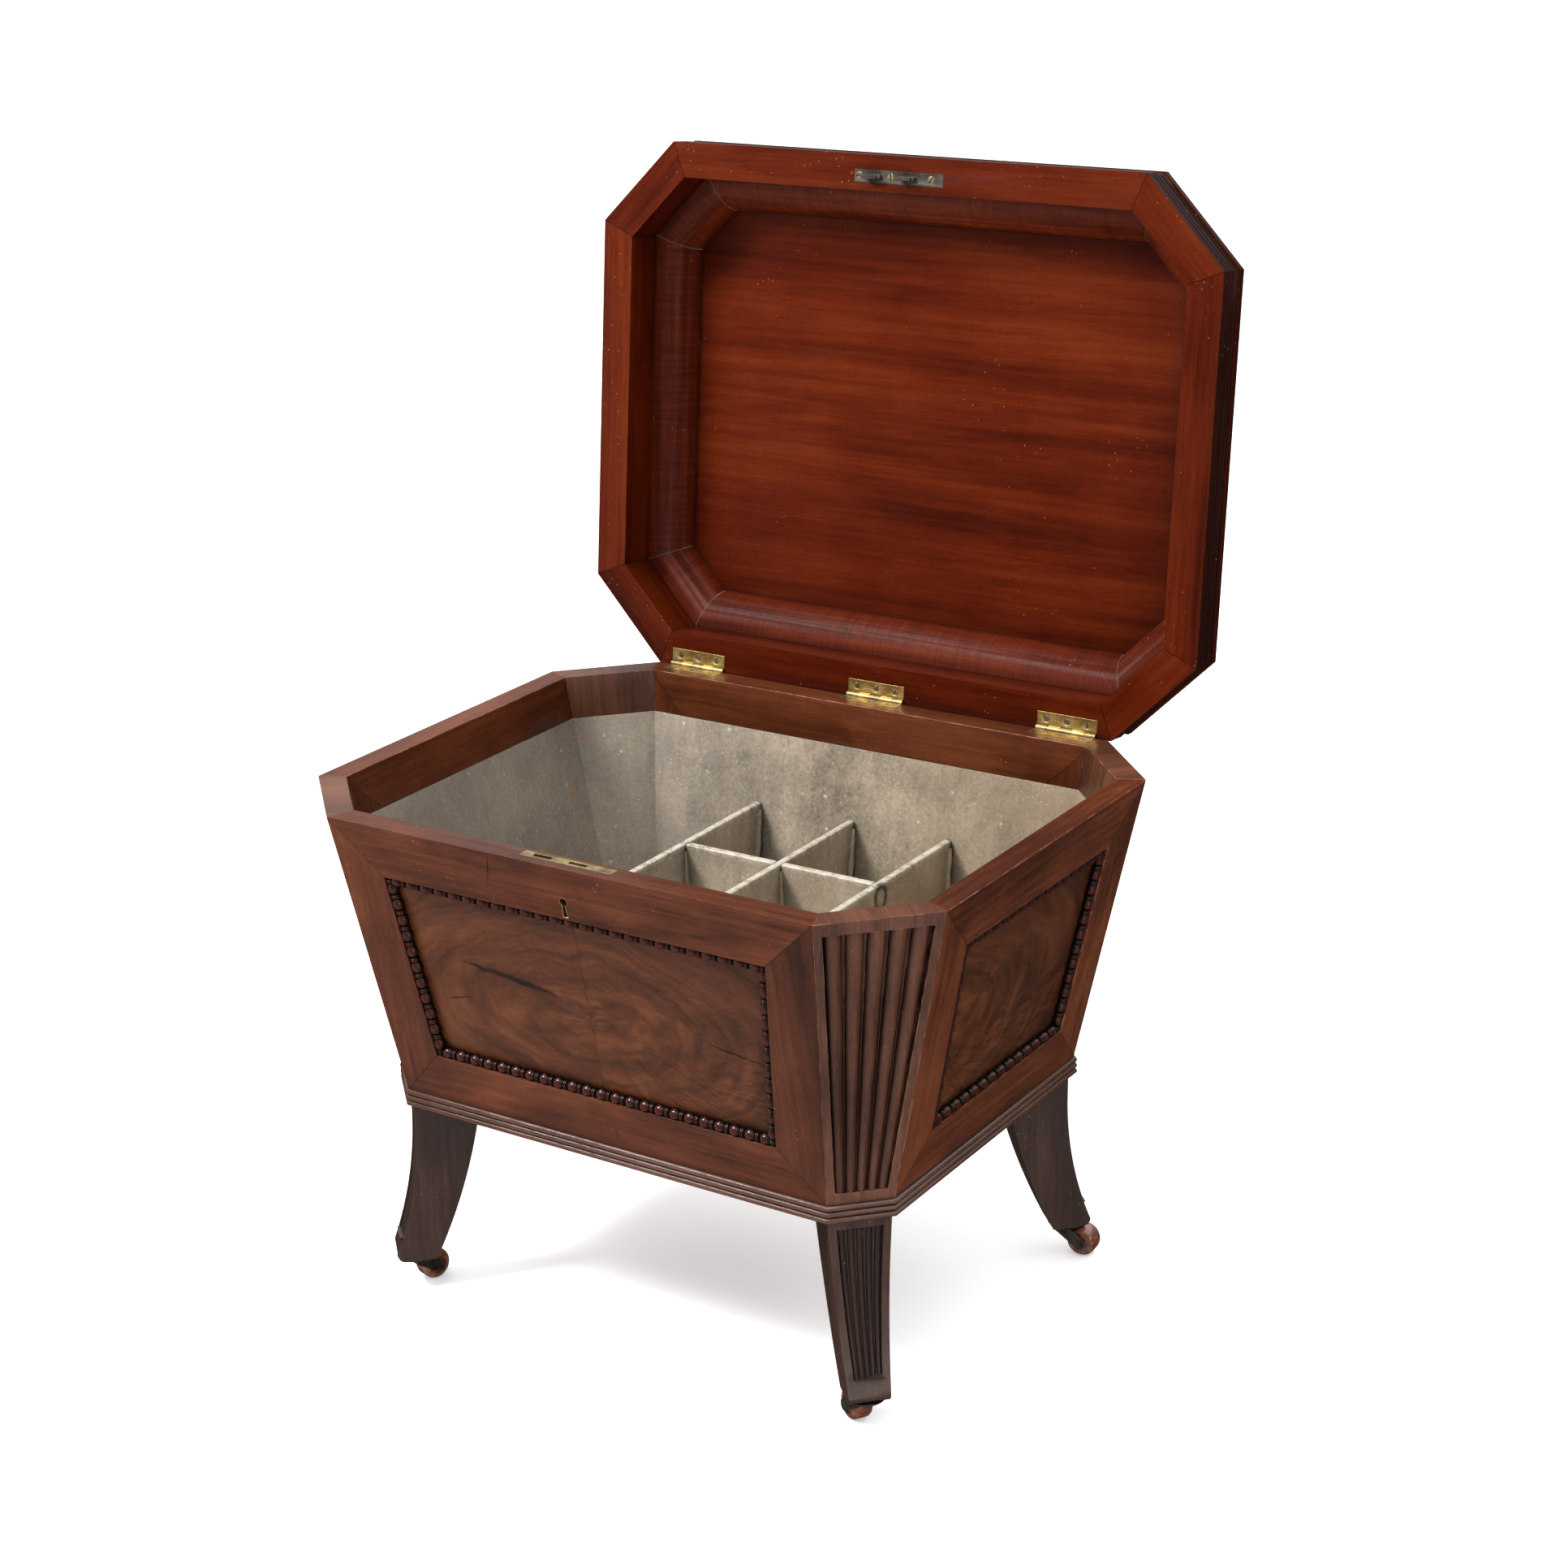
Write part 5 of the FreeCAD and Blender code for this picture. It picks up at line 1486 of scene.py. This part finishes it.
def screws(name, places, radius, body, slot):
    """Screw heads at (place, turn in degrees), joined as one piece."""
    master = slotted_head(radius)
    heads = []
    for place, turn in places:
        heads.append(stamped(master, place @ Matrix.Rotation(math.radians(turn), 4, "Z")))
    discard(master)
    return finish_piece(joined(heads, name), "Old screw", body, slot)


def in_chest(x, y, shy):
    """Place of a screw in the chest's rim, shy of its face."""
    return Matrix.Translation((x, y, RIM_LEVEL - shy))


def in_lid(x, y, shy):
    """Place of a screw in the underside of the open lid, shy of its face."""
    down = Matrix.Rotation(math.pi, 4, "X")
    return OPENING @ Matrix.Translation((x, y, LID_LEVEL + shy)) @ down


def countersink(piece, places, radius):
    """Sink a shallow cone for each screw head."""
    size = {"radius1": radius * 0.8, "radius2": radius * 1.25, "depth": SINK_DEPTH}
    cones = []
    for place, _ in places:
        cone = primitive("cone", "sink", vertices=32, **size)
        cone.data.transform(place)
        cones.append(cone)
    cutter = joined(cones, "countersinks")
    modify(piece, "BOOLEAN", operation="DIFFERENCE", object=cutter, solver="EXACT")
    discard(cutter)


class CELLARETTE_OT_hinges(bpy.types.Operator):
    """Three brass butt hinges and their screws"""

    bl_idname = "cellarette.hinges"
    bl_label = "Hinges"

    def execute(self, context):
        radius = context.scene.cellarette_sizes.screw_radius
        turns = iter(SCREW_TURNS * 2)
        fixed, moving = [], []
        for centre in HINGE_CENTRES:
            for step in HINGE_SCREWS:
                spot = (centre + step, HINGE_SCREW_LINE, HINGE_SHY)
                fixed.append((in_chest(*spot), next(turns)))
                moving.append((in_lid(*spot), next(turns)))
        for node, places, body, kind in (
            ("hinge_body_leaves", fixed, "chest", "Dull brass"),
            ("hinge_lid_leaves", moving, "lid", "Bright brass"),
        ):
            edges = {"sinks": (places, radius), "width": LEAF_EDGE, "angle": 50}
            dress(node, f"{node}_brass", kind, "brass", body=body, **edges)
            screws(f"{node}_screws", places, radius, body, "brass")
        return {"FINISHED"}


class CELLARETTE_OT_lock(bpy.types.Operator):
    """Lock plate, bolt, escutcheon and the strike plate in the lid"""

    bl_idname = "cellarette.lock"
    bl_label = "Lock"

    def execute(self, context):
        ends = [(in_chest(x, LOCK_LINE, LOCK_SHY), turn) for x, turn in LOCK_SCREWS]
        edges = {"sinks": (ends, LOCK_SCREW_RADIUS), "width": LOCK_EDGE}
        dress("lock_case", "lock_plate", "Dull brass", "brass", **edges)
        screws("lock_plate_screws", ends, LOCK_SCREW_RADIUS, "chest", "brass")
        steel = {"kind": "Dark steel", "slot": "lock_steel"}
        dress("lock_bolt", "lock_bolt_bar", **steel, body="lock_bolt", width=LOCK_EDGE)
        edges = {"width": LOCK_EDGE, "angle": 50}
        dress("escutcheon", "escutcheon_rim", "Bright brass", "brass", **edges)
        places = [(in_lid(x, LOCK_LINE, LOCK_SHY), turn) for x, turn in STRIKE_SCREWS]
        edges = {"sinks": (places, STRIKE_SCREW_RADIUS), "width": STRIKE_EDGE}
        dress("strike_plate", "strike_steel", **steel, body="lid", **edges)
        screws("strike_screws", places, STRIKE_SCREW_RADIUS, "lid", "lock_steel")
        return {"FINISHED"}


# ---- Floor, light and camera ----


class CELLARETTE_OT_stage(bpy.types.Operator):
    """Pale floor, soft lights and the camera"""

    bl_idname = "cellarette.stage"
    bl_label = "Stage"

    EYE = Vector((1.5391, -2.2208, 1.4949))
    YAW, PITCH, ROLL = 0.586, 0.348, -0.028
    LENS = 69.27
    # Each lamp: place, aim, size and power.
    LAMPS = {
        "key": ((-1.7, -1.9, 3.2), (0, 0.1, 0.5), (0.9, 0.9), 175),
        "side": ((2.45, -1.5, 0.55), (0, 0, 0.6), (0.7, 1.2), 10.5),
        "fill": ((-2.75, -2.0, 0.8), (0, 0, 0.7), (0.9, 0.9), 6),
        "overhead": ((0, 2, 5), (0, 2, 0), (12, 14), 680),
    }

    def light(self, name, place, aim, size, power):
        bpy.ops.object.light_add(type="AREA", location=place)
        lamp = bpy.context.object
        lamp.name = name
        lamp.data.shape = "RECTANGLE"
        lamp.data.size, lamp.data.size_y = size
        lamp.data.energy = power
        lamp.rotation_euler = (Vector(aim) - Vector(place)).to_track_quat("-Z", "Y").to_euler()

    def studio(self, context):
        """White ceiling, dim walls, and a ground that is bright in front and dark behind."""
        world = bpy.data.worlds.new("Studio")
        context.scene.world = world
        world.use_nodes = True
        nodes, links = world.node_tree.nodes, world.node_tree.links
        way = nodes.new("ShaderNodeTexCoord")
        split = nodes.new("ShaderNodeSeparateXYZ")
        links.new(way.outputs["Generated"], split.inputs[0])

        def blend(axis, low, high, first, second):
            """Two colours or sockets, blended along an axis of the direction looked in."""
            span = nodes.new("ShaderNodeMapRange")
            span.inputs["From Min"].default_value = low
            span.inputs["From Max"].default_value = high
            links.new(split.outputs[axis], span.inputs["Value"])
            shade = nodes.new("ShaderNodeMix")
            shade.data_type = "RGBA"
            links.new(span.outputs["Result"], shade.inputs[0])
            for socket, end in zip(shade.inputs[6:8], (first, second)):
                if isinstance(end, tuple):
                    socket.default_value = (*end, 1)
                else:
                    links.new(end, socket)
            return shade.outputs[2]

        sky = blend("Z", 0.0, 0.75, (0.13, 0.13, 0.13), (1.0, 1.0, 1.0))
        ground = blend("Y", -0.45, 0.15, (0.5, 0.49, 0.48), (0.05, 0.045, 0.04))
        links.new(blend("Z", -0.2, -0.05, ground, sky), nodes["Background"].inputs["Color"])

    def execute(self, context):
        clear_selection()
        floor = primitive("plane", "floor", size=60)
        finish = Finish("Floor", Roughness=0.9, Specular_IOR_Level=0.1, Emission_Strength=0.33)
        cloud = finish.cloud(finish.place(), 0.8, 2)
        colour = finish.ramp(cloud, (0.3, (0.9, 0.9, 0.9)), (0.7, (0.92, 0.92, 0.92)))
        floor.data.materials.append(finish.use(Base_Color=colour))
        floor.visible_glossy = False
        self.studio(context)
        for name, lamp in self.LAMPS.items():
            self.light(name, *lamp)
        bpy.ops.object.camera_add()
        camera = context.object
        camera.data.lens = self.LENS
        camera.data.sensor_width = 36
        ahead = Vector((-math.sin(self.YAW), math.cos(self.YAW), 0)) * math.cos(self.PITCH)
        ahead -= UP * math.sin(self.PITCH)
        level = Vector((math.cos(self.YAW), math.sin(self.YAW), 0))
        upright = level.cross(ahead)
        right = level * math.cos(self.ROLL) + upright * math.sin(self.ROLL)
        top = upright * math.cos(self.ROLL) - level * math.sin(self.ROLL)
        turned = Matrix((right, top, -ahead)).transposed().to_4x4()
        camera.matrix_world = Matrix.Translation(self.EYE) @ turned
        context.scene.camera = camera
        context.scene.view_settings.view_transform = "Standard"
        return {"FINISHED"}


STEPS = (
    CELLARETTE_OT_stage,
    CELLARETTE_OT_boards,
    CELLARETTE_OT_corners,
    CELLARETTE_OT_panels,
    CELLARETTE_OT_beads,
    CELLARETTE_OT_base,
    CELLARETTE_OT_legs,
    CELLARETTE_OT_casters,
    CELLARETTE_OT_lead,
    CELLARETTE_OT_lid,
    CELLARETTE_OT_hinges,
    CELLARETTE_OT_lock,
)


class CELLARETTE_PT_sidebar(bpy.types.Panel):
    """Sizes, colours and the steps that make the chest"""

    bl_idname = "CELLARETTE_PT_sidebar"
    bl_label = "Cellarette"
    bl_space_type = "VIEW_3D"
    bl_region_type = "UI"
    bl_category = "Cellarette"

    def draw(self, context):
        for step in STEPS:
            self.layout.operator(step.bl_idname)
        for group in (context.scene.cellarette_sizes, context.scene.cellarette_colours):
            box = self.layout.box()
            for name in group.__annotations__:
                box.prop(group, name)


CLASSES = (CellaretteSizes, CellaretteColours, *STEPS, CELLARETTE_PT_sidebar)


def register():
    for made in CLASSES:
        bpy.utils.register_class(made)
    bpy.types.Scene.cellarette_sizes = bpy.props.PointerProperty(type=CellaretteSizes)
    bpy.types.Scene.cellarette_colours = bpy.props.PointerProperty(type=CellaretteColours)


def unregister():
    del bpy.types.Scene.cellarette_colours
    del bpy.types.Scene.cellarette_sizes
    for made in reversed(CLASSES):
        bpy.utils.unregister_class(made)


def main():
    register()
    for step in STEPS:
        group, name = step.bl_idname.split(".")
        getattr(getattr(bpy.ops, group), name)()
    clear_selection()


if __name__ == "__main__":
    main()
